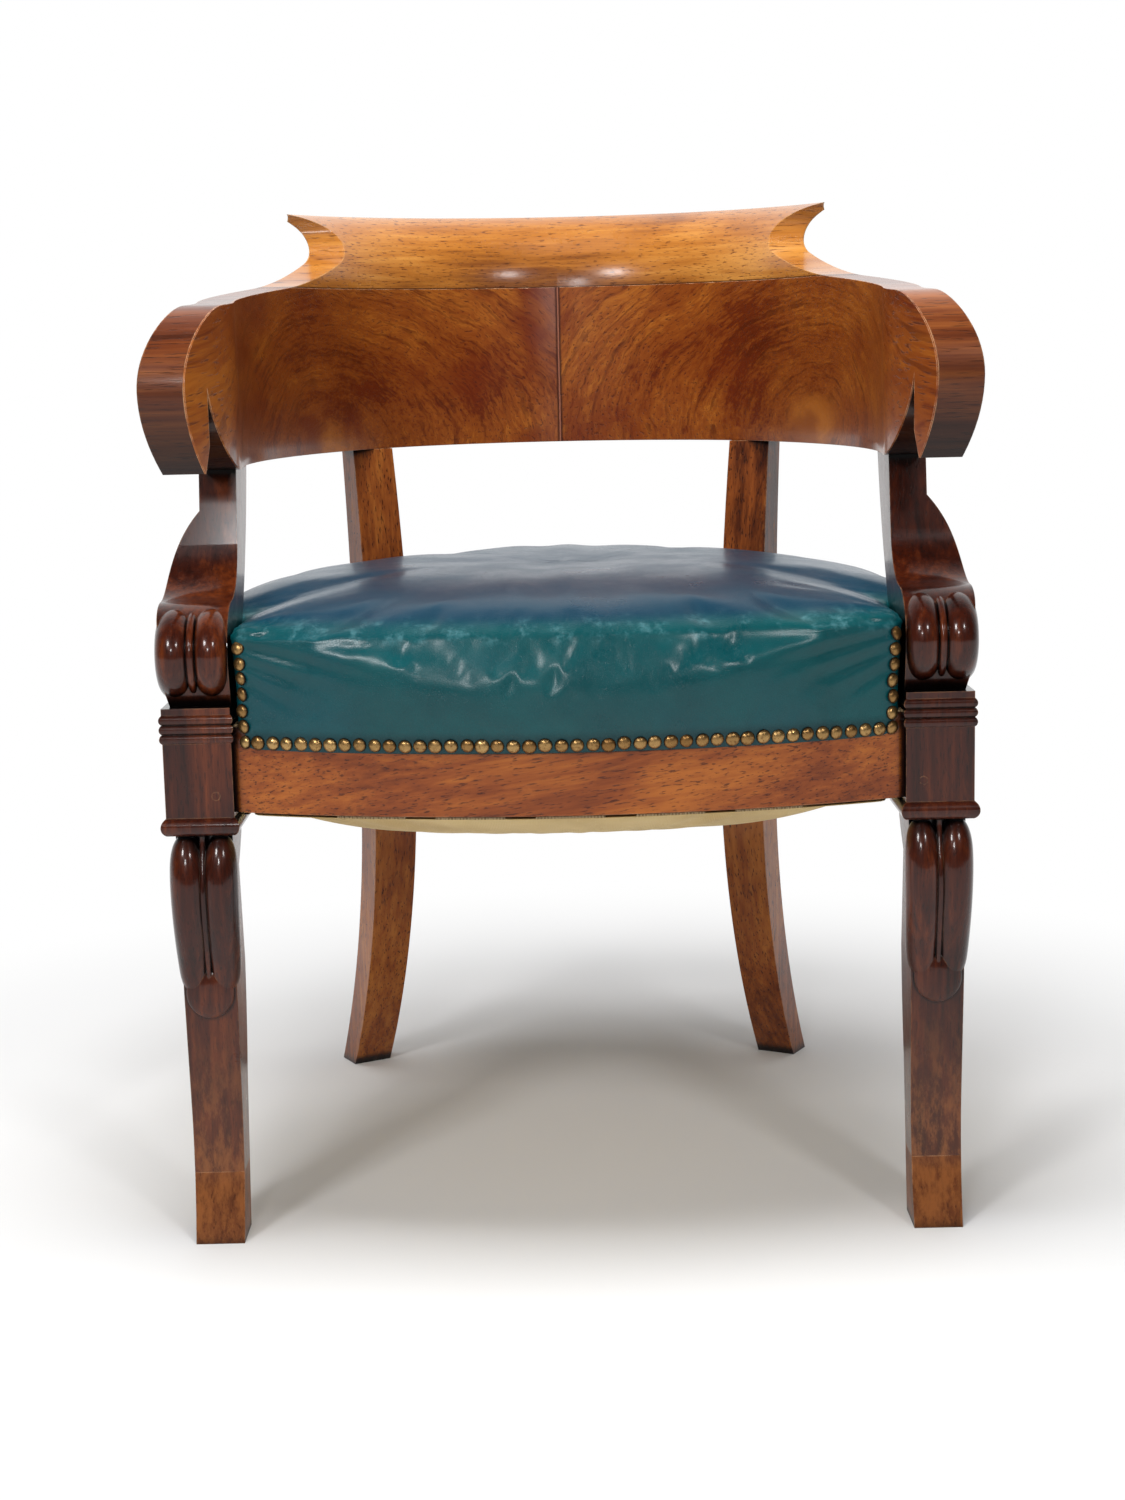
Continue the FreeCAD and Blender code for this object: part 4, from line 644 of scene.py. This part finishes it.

# %% [markdown]
# Old leather is a deep green-blue. Its face has a fine pebbled grain, worn thin and paler along
# the ridge, where a painted highlight lies as well, and darker towards the bottom by the nails.
# The top is painted a darker blue, a painted reflection of the dim room. The grain is a Voronoi
# pattern: the valleys run along the borders of its cells. A low sheen of wax lies on top.

# %% Leather finish
def seat_leather():
    """Green-blue leather: cell grain, mottling, a rubbed ridge with a painted highlight, a darker band along the nail
    row and a top painted a darker blue as a painted reflection.
    """
    material, tree, shader, place = new_material("seat_leather")
    height = axes_of(tree, place)[2]
    cells = node(tree, "TexVoronoi", {"Vector": place, "Scale": 620.0, "Randomness": 1.0}, feature="DISTANCE_TO_EDGE")
    valleys = spread(tree, cells.outputs["Distance"], 0.0, 0.16)
    mottled = noise(tree, place, 22.0, 6.0, 0.62)
    broad = noise(tree, stretch(tree, place, (1.0, 1.6, 1.0), shift=(3.1, 0.4, 1.7)), 6.0, 3.0, 0.5)
    colour = mix(tree, spread(tree, mottled, 0.25, 0.75), (0.0008, 0.052, 0.060), (0.0013, 0.072, 0.079))
    ridge = times(tree, spread(tree, height, 0.449, 0.459), spread(tree, height, 0.474, 0.463))
    # Along the ridge the leather is paler: partly wear, partly a painted highlight.
    ridge_wear_and_highlight = times(tree, ridge, spread(tree, noise(tree, place, 70.0, 5.0, 0.7), 0.48, 0.74, 0.0, 0.55))
    # The leather turns darker and duller towards the bottom, by the nail row.
    nail_row_band = spread(tree, height, 0.3925, 0.384)
    # The top above the ridge is painted a darker blue, a painted reflection of the dim room.
    colour = layered(tree, colour, (spread(tree, broad, 0.45, 0.72, 0.0, 0.5), (0.004, 0.064, 0.092)),
                     (spread(tree, height, 0.462, 0.472, 0.0, 0.8), (0.002, 0.026, 0.062)),
                     (ridge_wear_and_highlight, (0.10, 0.26, 0.29)), (times(tree, nail_row_band, 0.6), (0.002, 0.02, 0.024)),
                     (spread(tree, cells.outputs["Distance"], 0.07, 0.0, 0.0, 0.25), (0.001, 0.03, 0.036)))
    cracks = node(tree, "TexVoronoi", {"Vector": place, "Scale": 95.0, "Detail": 2.0, "Roughness": 0.6},
                  feature="DISTANCE_TO_EDGE")
    fine_lines = times(tree, spread(tree, cracks.outputs["Distance"], 0.035, 0.0), spread(tree, broad, 0.42, 0.66))
    gloss = sums(tree, "ADD", spread(tree, mottled, 0.3, 0.7, 0.27, 0.40), times(tree, nail_row_band, 0.2))
    relief = weighted(tree, (valleys, 1.0), (mottled, 1.6), (fine_lines, -0.9))
    finish_surface(tree, shader, colour, gloss, relief, 0.00009, Coat_Weight=0.4, Coat_Roughness=0.22,
                   Coat_IOR=1.4, Specular_IOR_Level=0.2)
    return material


leather_finish = seat_leather()
print("leather", len(leather_finish.node_tree.nodes), "nodes")

# %% [markdown]
# The cloth pass: every ring below and at the nails is pinned, as is the skin beside the wood.
# The rest grows by half a percent and is blown up from inside, as a stuffing presses, so slack
# gathers where the leather is held. A cloth modifier works frame by frame,
# so the frames are stepped through once and the result is written back to the mesh. The
# folds that a hand pulls towards the corners are then pressed in along short lines.

# %% Leather seat
SLACK, PUFF, CLOTH_FRAMES, MOST_MOVED = -0.005, 3.2, 14, 0.007
CREASE_DEPTH, CREASE_WIDTH, CREASE_WANDER, CREASE_RUN = 0.0019, 0.0042, 0.003, 1.25
# Each crease: start, end (x, y, z on the right; the left is its mirror), depth share
CREASES = (
    ((0.236, -0.252, 0.452), (0.150, -0.284, 0.432), 1.0),
    ((0.237, -0.250, 0.441), (0.172, -0.280, 0.417), 0.9),
    ((0.236, -0.252, 0.458), (0.128, -0.285, 0.450), 0.8),
    ((0.237, -0.250, 0.428), (0.196, -0.270, 0.405), 0.7),
    ((0.232, -0.246, 0.463), (0.155, -0.250, 0.470), 1.0),
    ((0.230, -0.236, 0.464), (0.168, -0.206, 0.474), 1.1),
    ((0.232, -0.222, 0.464), (0.188, -0.172, 0.474), 0.9),
    ((0.236, -0.150, 0.465), (0.170, -0.142, 0.478), 0.7),
    ((0.255, -0.136, 0.462), (0.205, -0.090, 0.474), 0.8),
    ((0.262, -0.133, 0.452), (0.280, -0.060, 0.440), 0.7),
)


def let_slack(points, faces, pinned):
    """Run the cloth for a few frames from the smooth shape; the places, moved within a limit."""
    piece = new_piece("slack_skin", points, faces, leather_finish)
    group_of = piece.vertex_groups.new(name="held")
    group_of.add(np.flatnonzero(pinned).tolist(), 1.0, "REPLACE")
    cloth = piece.modifiers.new("slack", "CLOTH")
    cloth.settings.vertex_group_mass = "held"
    cloth.settings.effector_weights.gravity = 0.0
    cloth.settings.shrink_min = SLACK
    cloth.settings.use_pressure = True
    cloth.settings.uniform_pressure_force = PUFF
    cloth.settings.tension_stiffness = 25
    cloth.settings.compression_stiffness = 12
    cloth.settings.bending_stiffness = 3.0
    cloth.settings.quality = 6
    cloth.collision_settings.use_collision = False
    cloth.point_cache.frame_start, cloth.point_cache.frame_end = 1, CLOTH_FRAMES
    for frame_number in range(1, CLOTH_FRAMES + 1):
        scene.frame_set(frame_number)
    shaped = vertex_array(piece.evaluated_get(bpy.context.evaluated_depsgraph_get()).data)
    scene.frame_set(1)
    bpy.data.meshes.remove(piece.data)
    moved = shaped - points
    length = np.linalg.norm(moved, axis=1, keepdims=True)
    print("cloth moved", round(float(length.max()) * 1000, 1), "mm at most")
    return points + moved * MOST_MOVED * np.tanh(length / MOST_MOVED) / np.maximum(length, 1e-9)


def press_creases(piece, free):
    """Press each crease in along the normals: a valley of bell section with a low ridge beside it, which
    widens and fades along its line. Two products of slow sines add the unevenness of a hand-stuffed seat."""
    points, normals = vertex_array(piece.data), vertex_array(piece.data, "normal")
    depth = np.zeros(len(points))
    for side in (1, -1):
        for start, end, share in CREASES:
            first, last = np.array(start) * (side, 1, 1), np.array(end) * (side, 1, 1)
            along = last - first
            share_along = np.clip((points - first) @ along / (along @ along), -0.1, CREASE_RUN)
            bend = CREASE_WANDER * np.sin(3.0 * share_along + side)
            away = np.linalg.norm(points - first - share_along[:, None] * along, axis=1) + bend * share_along
            width = CREASE_WIDTH * (0.55 + 0.75 * np.clip(share_along, 0, 1))
            fade = np.clip(1.0 - np.clip(share_along, 0, CREASE_RUN) / CREASE_RUN, 0, 1) ** 0.8
            bell = np.exp(-(away / width) ** 2) - 0.45 * np.exp(-((away - 2.1 * width) / width) ** 2)
            depth -= share * fade * CREASE_DEPTH * bell
    x, y, z = points.T
    depth += 0.0006 * np.sin(38 * x + 60 * z + 5 * np.sin(21 * x)) * np.sin(74 * z + 9 * x)
    depth += 0.0005 * np.sin(24 * y + 31 * x + 3 * np.sin(17 * y)) * np.sin(19 * x - 11 * y)
    depth *= free
    piece.data.vertices.foreach_set("co", (points + normals * depth[:, None]).ravel())
    piece.data.update()


def make_seat():
    """The leather seat: smooth skin, cloth slack, twice the rings and spokes, pressed creases."""
    points, faces = seat_skin()
    rings = len(seat_rings())
    row = np.append(np.repeat(np.arange(rings), SPOKES), [0, rings])
    beside_wood = np.append(np.tile(free_edge(2) < 0.5, rings), [False, False])
    level = points[:, 2]
    pinned = (row < HELD_RINGS) | (level < NAIL_LEVEL + 0.008) | (beside_wood & (level < RIDGE_LEVEL + 0.004))
    points = let_slack(points, faces, pinned)
    fine = doubled(points[:-2].reshape(rings, SPOKES, 3))
    points = np.concatenate([fine.reshape(-1, 3), points[-2:]])
    piece = new_piece("leather_seat", points, ring_faces(len(fine), fine.shape[1], caps=True), leather_finish)
    row = np.append(np.repeat(np.arange(len(fine)), fine.shape[1]), [0, len(fine)])
    press_creases(piece, np.clip((points[:, 2] - NAIL_LEVEL - 0.006) / 0.012, 0, 1) * (row >= 2 * HELD_RINGS))
    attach(piece, "root")
    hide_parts("leather_cover", "stuffing_pad")
    print("leather seat", len(points), "vertices")
    return piece


leather_seat = make_seat()

# %% [markdown]
# The brass nails stand almost touching along the lower edge and up both front corners. A nail
# head is a profile turned round its axis. Its twelve-sided dome is built once as an array and
# then carried to every place. No two old nails sit alike, so each one is shifted, tipped and
# scaled a little, from a fixed seed. A number kept on every vertex lets the brass vary in tone.

# %% Brass nails
NAIL_RADIUS, NAIL_PITCH, NAIL_SIDES = 0.0053, 0.0112, 12
# Rows of a head: share of the radius, height
NAIL_PROFILE = np.array([(0.90, -0.0008), (1.0, -0.0002), (1.0, 0.0003),
                         (0.90, 0.0013), (0.66, 0.00235), (0.34, 0.0029)])
NAIL_TOP = 0.0031
COLUMN_X, COLUMN_LEAN, COLUMN_TOP, COLUMN_NAILS = 0.2362, 0.0018, 0.4505, 6
BOW_STEPS, SIDE_START = 200, -0.192
FLANK_X, FLANK_END, REAR_START, REAR_X = 0.17, 0.16, 0.15, 0.14


def brass_finish():
    """Old brass: golden on the domes, brown where polish gathers round the rims, each nail its own tone."""
    material, tree, shader, place = new_material("nail_brass")
    tone = node(tree, "Attribute", attribute_name="tone").outputs["Fac"]
    rise = node(tree, "Attribute", attribute_name="rise").outputs["Fac"]
    spots = noise(tree, place, 420.0, 4.0, 0.65)
    colour = layered(tree, (0.24, 0.125, 0.04), (tone, (0.46, 0.29, 0.115)),
                     (spread(tree, spots, 0.5, 0.72), (0.17, 0.085, 0.03)),
                     (spread(tree, rise, 0.62, 0.12), (0.035, 0.022, 0.014)))
    roughness = sums(tree, "ADD", spread(tree, spots, 0.3, 0.75, 0.24, 0.5), spread(tree, rise, 0.5, 0.1, 0.0, 0.3))
    finish_surface(tree, shader, colour, roughness, spots, 0.0001, Metallic=0.92)
    return material


def even_steps(points, pitch):
    """Places at an even pitch along an open line of points."""
    lengths = np.concatenate([[0], np.cumsum(np.linalg.norm(np.diff(points, axis=0), axis=1))])
    count = max(int(round(lengths[-1] / pitch)), 1) + 1
    wanted = np.linspace(0, lengths[-1], count)
    return np.column_stack([np.interp(wanted, lengths, points[:, axis]) for axis in range(3)])


def nail_places():
    """Places of all nails: the bowed front, a column up each front corner, both sides, the back."""
    edge = ring_at(seat_outline(NAIL_LEVEL), NAIL_LEVEL)
    free = free_edge(1) > 0.9
    (_, bow_centre), bow_radius = PLAN_ARCS[0]
    across = np.linspace(-COLUMN_X, COLUMN_X, BOW_STEPS)
    bow = bow_centre - np.sqrt(bow_radius ** 2 - across ** 2)
    rows = [even_steps(np.column_stack([across, bow, np.full(BOW_STEPS, NAIL_LEVEL)]), NAIL_PITCH)]
    nailed = free & (edge[:, 1] > SIDE_START + NAIL_RADIUS)
    for side in (1, -1):
        flank = edge[nailed & (edge[:, 0] * side > FLANK_X) & (edge[:, 1] < FLANK_END)]
        rows.append(even_steps(flank[np.argsort(flank[:, 1])], NAIL_PITCH))
        levels = np.linspace(NAIL_LEVEL, COLUMN_TOP, COLUMN_NAILS + 1)[1:]
        lean = COLUMN_X + COLUMN_LEAN * (levels - NAIL_LEVEL) / (COLUMN_TOP - NAIL_LEVEL)
        rows.append(np.column_stack([side * lean, np.full(COLUMN_NAILS, bow[0]), levels]))
    rear = edge[nailed & (edge[:, 1] > REAR_START) & (np.abs(edge[:, 0]) < REAR_X)]
    rows.append(even_steps(rear[np.argsort(rear[:, 0])], NAIL_PITCH))
    return np.concatenate(rows)


def make_nails(skin):
    """All nail heads as one piece: a turned dome per place, standing on the nearest skin."""
    chance = np.random.default_rng(11)
    places = nail_places()
    points, normals = vertex_array(skin.data), vertex_array(skin.data, "normal")
    near = np.array([np.argmin(((points - place) ** 2).sum(1)) for place in places])
    outward = normals[near] + chance.normal(0, 0.07, places.shape)
    outward /= np.linalg.norm(outward, axis=1, keepdims=True)
    drop = ((points[near] - places) * normals[near]).sum(1, keepdims=True)
    bases = places + normals[near] * drop + chance.normal(0, 0.00028, places.shape)
    first = np.cross(np.array([0.0, 0.0, 1.0]), outward)
    first /= np.linalg.norm(first, axis=1, keepdims=True)
    second = np.cross(outward, first)
    size = chance.normal(1.0, 0.025, len(places))
    round_angles = np.linspace(0, 2 * np.pi, NAIL_SIDES, endpoint=False)
    ring = np.stack([np.cos(round_angles), np.sin(round_angles)])
    local_a, local_b = (np.concatenate([(NAIL_PROFILE[:, :1] * part * NAIL_RADIUS).ravel(), [0, 0]]) for part in ring)
    local_up = np.concatenate([np.repeat(NAIL_PROFILE[:, 1], NAIL_SIDES), [NAIL_PROFILE[0, 1], NAIL_TOP]])
    heads = (bases[:, None] + size[:, None, None] * (local_a[:, None] * first[:, None]
             + local_b[:, None] * second[:, None]) + local_up[:, None] * outward[:, None])
    one = ring_faces(len(NAIL_PROFILE), NAIL_SIDES, caps=True)
    count = heads.shape[1]
    faces = [[corner + index * count for corner in face] for index in range(len(places)) for face in one]
    piece = new_piece("brass_nail_heads", heads.reshape(-1, 3), faces, brass_finish())
    rise = np.tile(np.clip(local_up / NAIL_TOP, 0, 1), len(places))
    tone = np.repeat(np.clip(chance.normal(0.5, 0.25, len(places)), 0, 1), count)
    for name, values in (("rise", rise), ("tone", tone)):
        piece.data.attributes.new(name, "FLOAT", "POINT").data.foreach_set("value", values.astype(np.float32))
    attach(piece, "root")
    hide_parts("brass_nails")
    print("brass nails", len(places))
    return piece


brass_nail_heads = make_nails(leather_seat)

# %% [markdown]
# Under the springs a piece of unbleached calico keeps the dust in. It was tacked round the
# rails and has sagged since. The sheet is a disc of rings that follows the plan of the seat:
# a flat margin under the rails, then a drop that is steepest near the margin. Short pull folds
# fan in from the tacks. A Solidify modifier gives the single sheet its thickness.

# %% Calico dust cover
COVER_MARGIN, COVER_INSET, COVER_LEVEL = 0.026, 0.010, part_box("dust_cover")[1].z
COVER_SAG = COVER_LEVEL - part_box("dust_cover")[0].z - 0.001
COVER_RINGS, COVER_THICK, COVER_GAP = 40, 0.0007, 0.0005
CUT_EXTRA, AREA_EXTRA, THREADS = 1.04, 1.05, 5200.0


def calico_finish():
    """Yellowed calico: two crossing sets of threads as wave heights, soft stains, a matt surface."""
    material, tree, shader, place = new_material("calico")
    axes = axes_of(tree, place)
    warp, weft = (sums(tree, "SINE", times(tree, axes[way], THREADS)) for way in (0, 1))
    slubs, slubs_across = (noise(tree, stretch(tree, place, scale), 1.0, 3.0, 0.6)
                           for scale in ((900.0, 60.0, 60.0), (60.0, 900.0, 60.0)))
    threads = sums(tree, "ADD", times(tree, warp, slubs), times(tree, weft, slubs_across))
    stains = noise(tree, place, 9.0, 4.0, 0.6)
    colour = layered(tree, (0.68, 0.50, 0.22), (spread(tree, stains, 0.35, 0.7), (0.52, 0.35, 0.13)),
                     (spread(tree, slubs, 0.55, 0.75, 0.0, 0.35), (0.74, 0.58, 0.30)))
    finish_surface(tree, shader, colour, 0.92, threads, 0.00012, Sheen_Weight=0.15)
    return material


def make_dust_cover():
    """The sagging sheet. With s the share from the margin to the middle, the drop is
    sag (1 - (1 - s)^2.6), and pull folds of a few millimetres fade away from the edge."""
    full = seat_outline(COVER_LEVEL) - COVER_INSET
    shares = np.concatenate([[1.0], np.linspace(0.985, 0.02, COVER_RINGS)])
    pulls = 0.0017 * np.sin(31 * turn_angles + 2 * np.sin(5 * turn_angles)) + 0.001 * np.sin(53 * turn_angles)
    rows = []
    for share in shares:
        radius = full * share
        inside = np.clip((full - radius - COVER_MARGIN) / (full - COVER_MARGIN), 0, 1)
        drop = COVER_SAG * (1 - (1 - inside) ** 2.6)
        drop = drop + pulls * np.clip(inside / 0.06, 0, 1) * np.exp(-inside / 0.22)
        level = COVER_LEVEL - COVER_GAP - np.clip(drop, 0, COVER_SAG)
        rows.append(ring_at(radius, level))
    points = np.concatenate(rows + [[[*SEAT_MIDDLE, COVER_LEVEL - COVER_GAP - COVER_SAG]]])
    faces = ring_faces(len(rows), SPOKES, caps=False)
    last = (len(rows) - 1) * SPOKES + np.arange(SPOKES)
    faces += np.column_stack([last, np.roll(last, -1), np.full(SPOKES, len(points) - 1)]).tolist()
    piece = new_piece("calico_cover", points, faces, calico_finish())
    thick = piece.modifiers.new("thickness", "SOLIDIFY")
    thick.thickness = COVER_THICK
    thick.offset = 0.0
    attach(piece, "root")
    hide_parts("dust_cover")
    return piece


calico_cover = make_dust_cover()

# %% [markdown]
# The inside of the seat can be seen only from below or when the pieces are taken apart. The
# webbing and the hessian are coarse jute, the springs and tacks are plain steel.

# %% Finishes inside the seat
def jute_finish(name, threads, colours):
    """Coarse jute: crossing threads of a given count per metre, uneven in thickness and colour."""
    material, tree, shader, place = new_material(name)
    axes = axes_of(tree, place)
    waves = [sums(tree, "SINE", times(tree, axes[axis], 2 * math.pi * threads)) for axis in (0, 1)]
    fibres = noise(tree, place, 3.0 * threads, 4.0, 0.7)
    weave = times(tree, waves[0], waves[1])
    colour = layered(tree, colours[0], (spread(tree, weave, -0.6, 0.6), colours[1]),
                     (spread(tree, fibres, 0.4, 0.7, 0.0, 0.5), colours[0]))
    finish_surface(tree, shader, colour, 0.95, sums(tree, "ADD", weave, fibres), 0.0004)
    return material


def steel_finish():
    """Grey drawn wire with freckles of rust."""
    material, tree, shader, place = new_material("spring_steel")
    rust = spread(tree, noise(tree, place, 160.0, 5.0, 0.7), 0.52, 0.66)
    colour = mix(tree, rust, (0.26, 0.26, 0.27), (0.16, 0.06, 0.025))
    roughness = spread(tree, rust, 0.0, 1.0, 0.32, 0.85)
    finish_surface(tree, shader, colour, roughness, rust, 0.0001, Metallic=0.9)
    return material


webbing_jute = jute_finish("webbing_jute", 420.0, ((0.27, 0.18, 0.09), (0.52, 0.40, 0.24)))
hessian_jute = jute_finish("hessian_jute", 300.0, ((0.22, 0.14, 0.07), (0.46, 0.33, 0.18)))
spring_steel = steel_finish()
print("jute and steel finishes")

# %% [markdown]
# Each node now takes the finish of its wood, jute or steel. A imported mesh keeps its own
# vertices, so only its material slots change.

# %% Dress the joinery
FINISHES = {
    "front_leg": carved_wood, "arm_support": carved_wood, "foot_tip": spliced_wood, "rear_leg": stile_wood,
    "back_board": board_wood, "back_veneer_left": veneer_left, "back_veneer_right": veneer_right,
    "crest_rail": crest_wood, "front_rail_veneer": rail_veneer_wood, "front_rail": plain_wood,
    "side_rail": rail_veneer_wood, "back_seat_rail": rail_veneer_wood, "corner_blocks": plain_wood,
    "joint_pegs": carved_wood, "webbing_straps": webbing_jute, "spring_hessian": hessian_jute,
    "seat_springs": spring_steel, "cover_tacks": spring_steel,
}


def finish_for(name):
    """The finish whose key is the longest one that the node's name starts with."""
    keys = [key for key in FINISHES if name.startswith(key)]
    return FINISHES[max(keys, key=len)] if keys else None


for name, piece in nodes.items():
    finish = finish_for(name)
    if finish:
        piece.data.materials.clear()
        piece.data.materials.append(finish)
print("dressed", sum(finish_for(name) is not None for name in nodes), "nodes")

# %% [markdown]
# A plain pale floor takes the soft shadow. Far from the chair it fades into the white of the
# backdrop, so no horizon shows. The world is white where the camera looks at it and where a
# reflection looks towards the backdrop. A reflection towards the front meets a dim room, and
# the surfaces themselves get a gentler light. The broad lamp overhead is kept out of the
# reflections, so that no square patch lies on the polish.


# %% Floor, world and lights
FLOOR_HALF = 6.0
FADE_START, FADE_END = 0.40, 0.95


def pale_floor():
    """A square floor whose paper-white surface turns to plain backdrop white with distance."""
    corners = FLOOR_HALF * np.array([(-1, -1, 0), (1, -1, 0), (1, 1, 0), (-1, 1, 0)], float)
    mesh = bpy.data.meshes.new("floor")
    mesh.from_pydata(corners, [], [(0, 1, 2, 3)])
    floor = bpy.data.objects.new("floor", mesh)
    scene.collection.objects.link(floor)
    material, tree, shader, place = new_material("floor_paper")
    for label, value in (("Base Color", (0.78, 0.78, 0.78)), ("Roughness", 0.9), ("Specular IOR Level", 0.0)):
        feed(tree, shader.inputs[label], value)
    rays = node(tree, "LightPath").outputs
    mirrored = sums(tree, "MAXIMUM", rays["Is Glossy Ray"], rays["Is Transmission Ray"])
    seen = sums(tree, "MAXIMUM", rays["Is Camera Ray"], mirrored)
    far = spread(tree, vectors(tree, "LENGTH", place), FADE_START, FADE_END)
    glow = node(tree, "Emission", {"Color": (1, 1, 1), "Strength": 1.0})
    both = node(tree, "MixShader", {"Fac": times(tree, far, seen)})
    tree.links.new(shader.outputs[0], both.inputs[1])
    tree.links.new(glow.outputs[0], both.inputs[2])
    tree.links.new(both.outputs[0], tree.nodes["Material Output"].inputs["Surface"])
    mesh.materials.append(material)


def white_world(strength, room, backdrop):
    """White for the camera and weaker as a light. A mirror sees the backdrop behind and a dim room in front."""
    world = bpy.data.worlds.new("studio")
    scene.world = world
    world.use_nodes = True
    tree = world.node_tree
    rays = node(tree, "LightPath").outputs
    toward_front = axes_of(tree, node(tree, "NewGeometry").outputs["Incoming"])[1]
    mirrored = spread(tree, toward_front, 0.25, -0.75, room, backdrop)
    level = spread(tree, rays["Is Glossy Ray"], 0.0, 1.0, strength, mirrored)
    seen = sums(tree, "MAXIMUM", rays["Is Camera Ray"], rays["Is Transmission Ray"])
    feed(tree, tree.nodes["Background"].inputs["Color"], (1.0, 1.0, 1.0))
    feed(tree, tree.nodes["Background"].inputs["Strength"], spread(tree, seen, 0.0, 1.0, level, 1.0))


def soft_box(name, place, target, size, power):
    """A square area light at a place, turned to face a target."""
    lamp = bpy.data.objects.new(name, bpy.data.lights.new(name, "AREA"))
    lamp.data.size = size
    lamp.data.energy = power
    lamp.location = place
    lamp.rotation_euler = (Vector(target) - Vector(place)).to_track_quat("-Z", "Y").to_euler()
    scene.collection.objects.link(lamp)
    return lamp


pale_floor()
white_world(strength=0.25, room=0.06, backdrop=1.0)
soft_box("overhead", (-0.1, -0.25, 2.4), (0, 0, 0.4), 1.0, 54).visible_glossy = False
soft_box("front_left", (-1.3, -2.3, 1.9), (0, 0, 0.45), 0.45, 25)
soft_box("front_right", (1.2, -2.6, 2.0), (0, 0, 0.5), 0.32, 16)
soft_box("window", (-0.45, -2.6, 1.25), (0, 0, 0.4), 0.25, 9)
print("floor, world and four lamps")
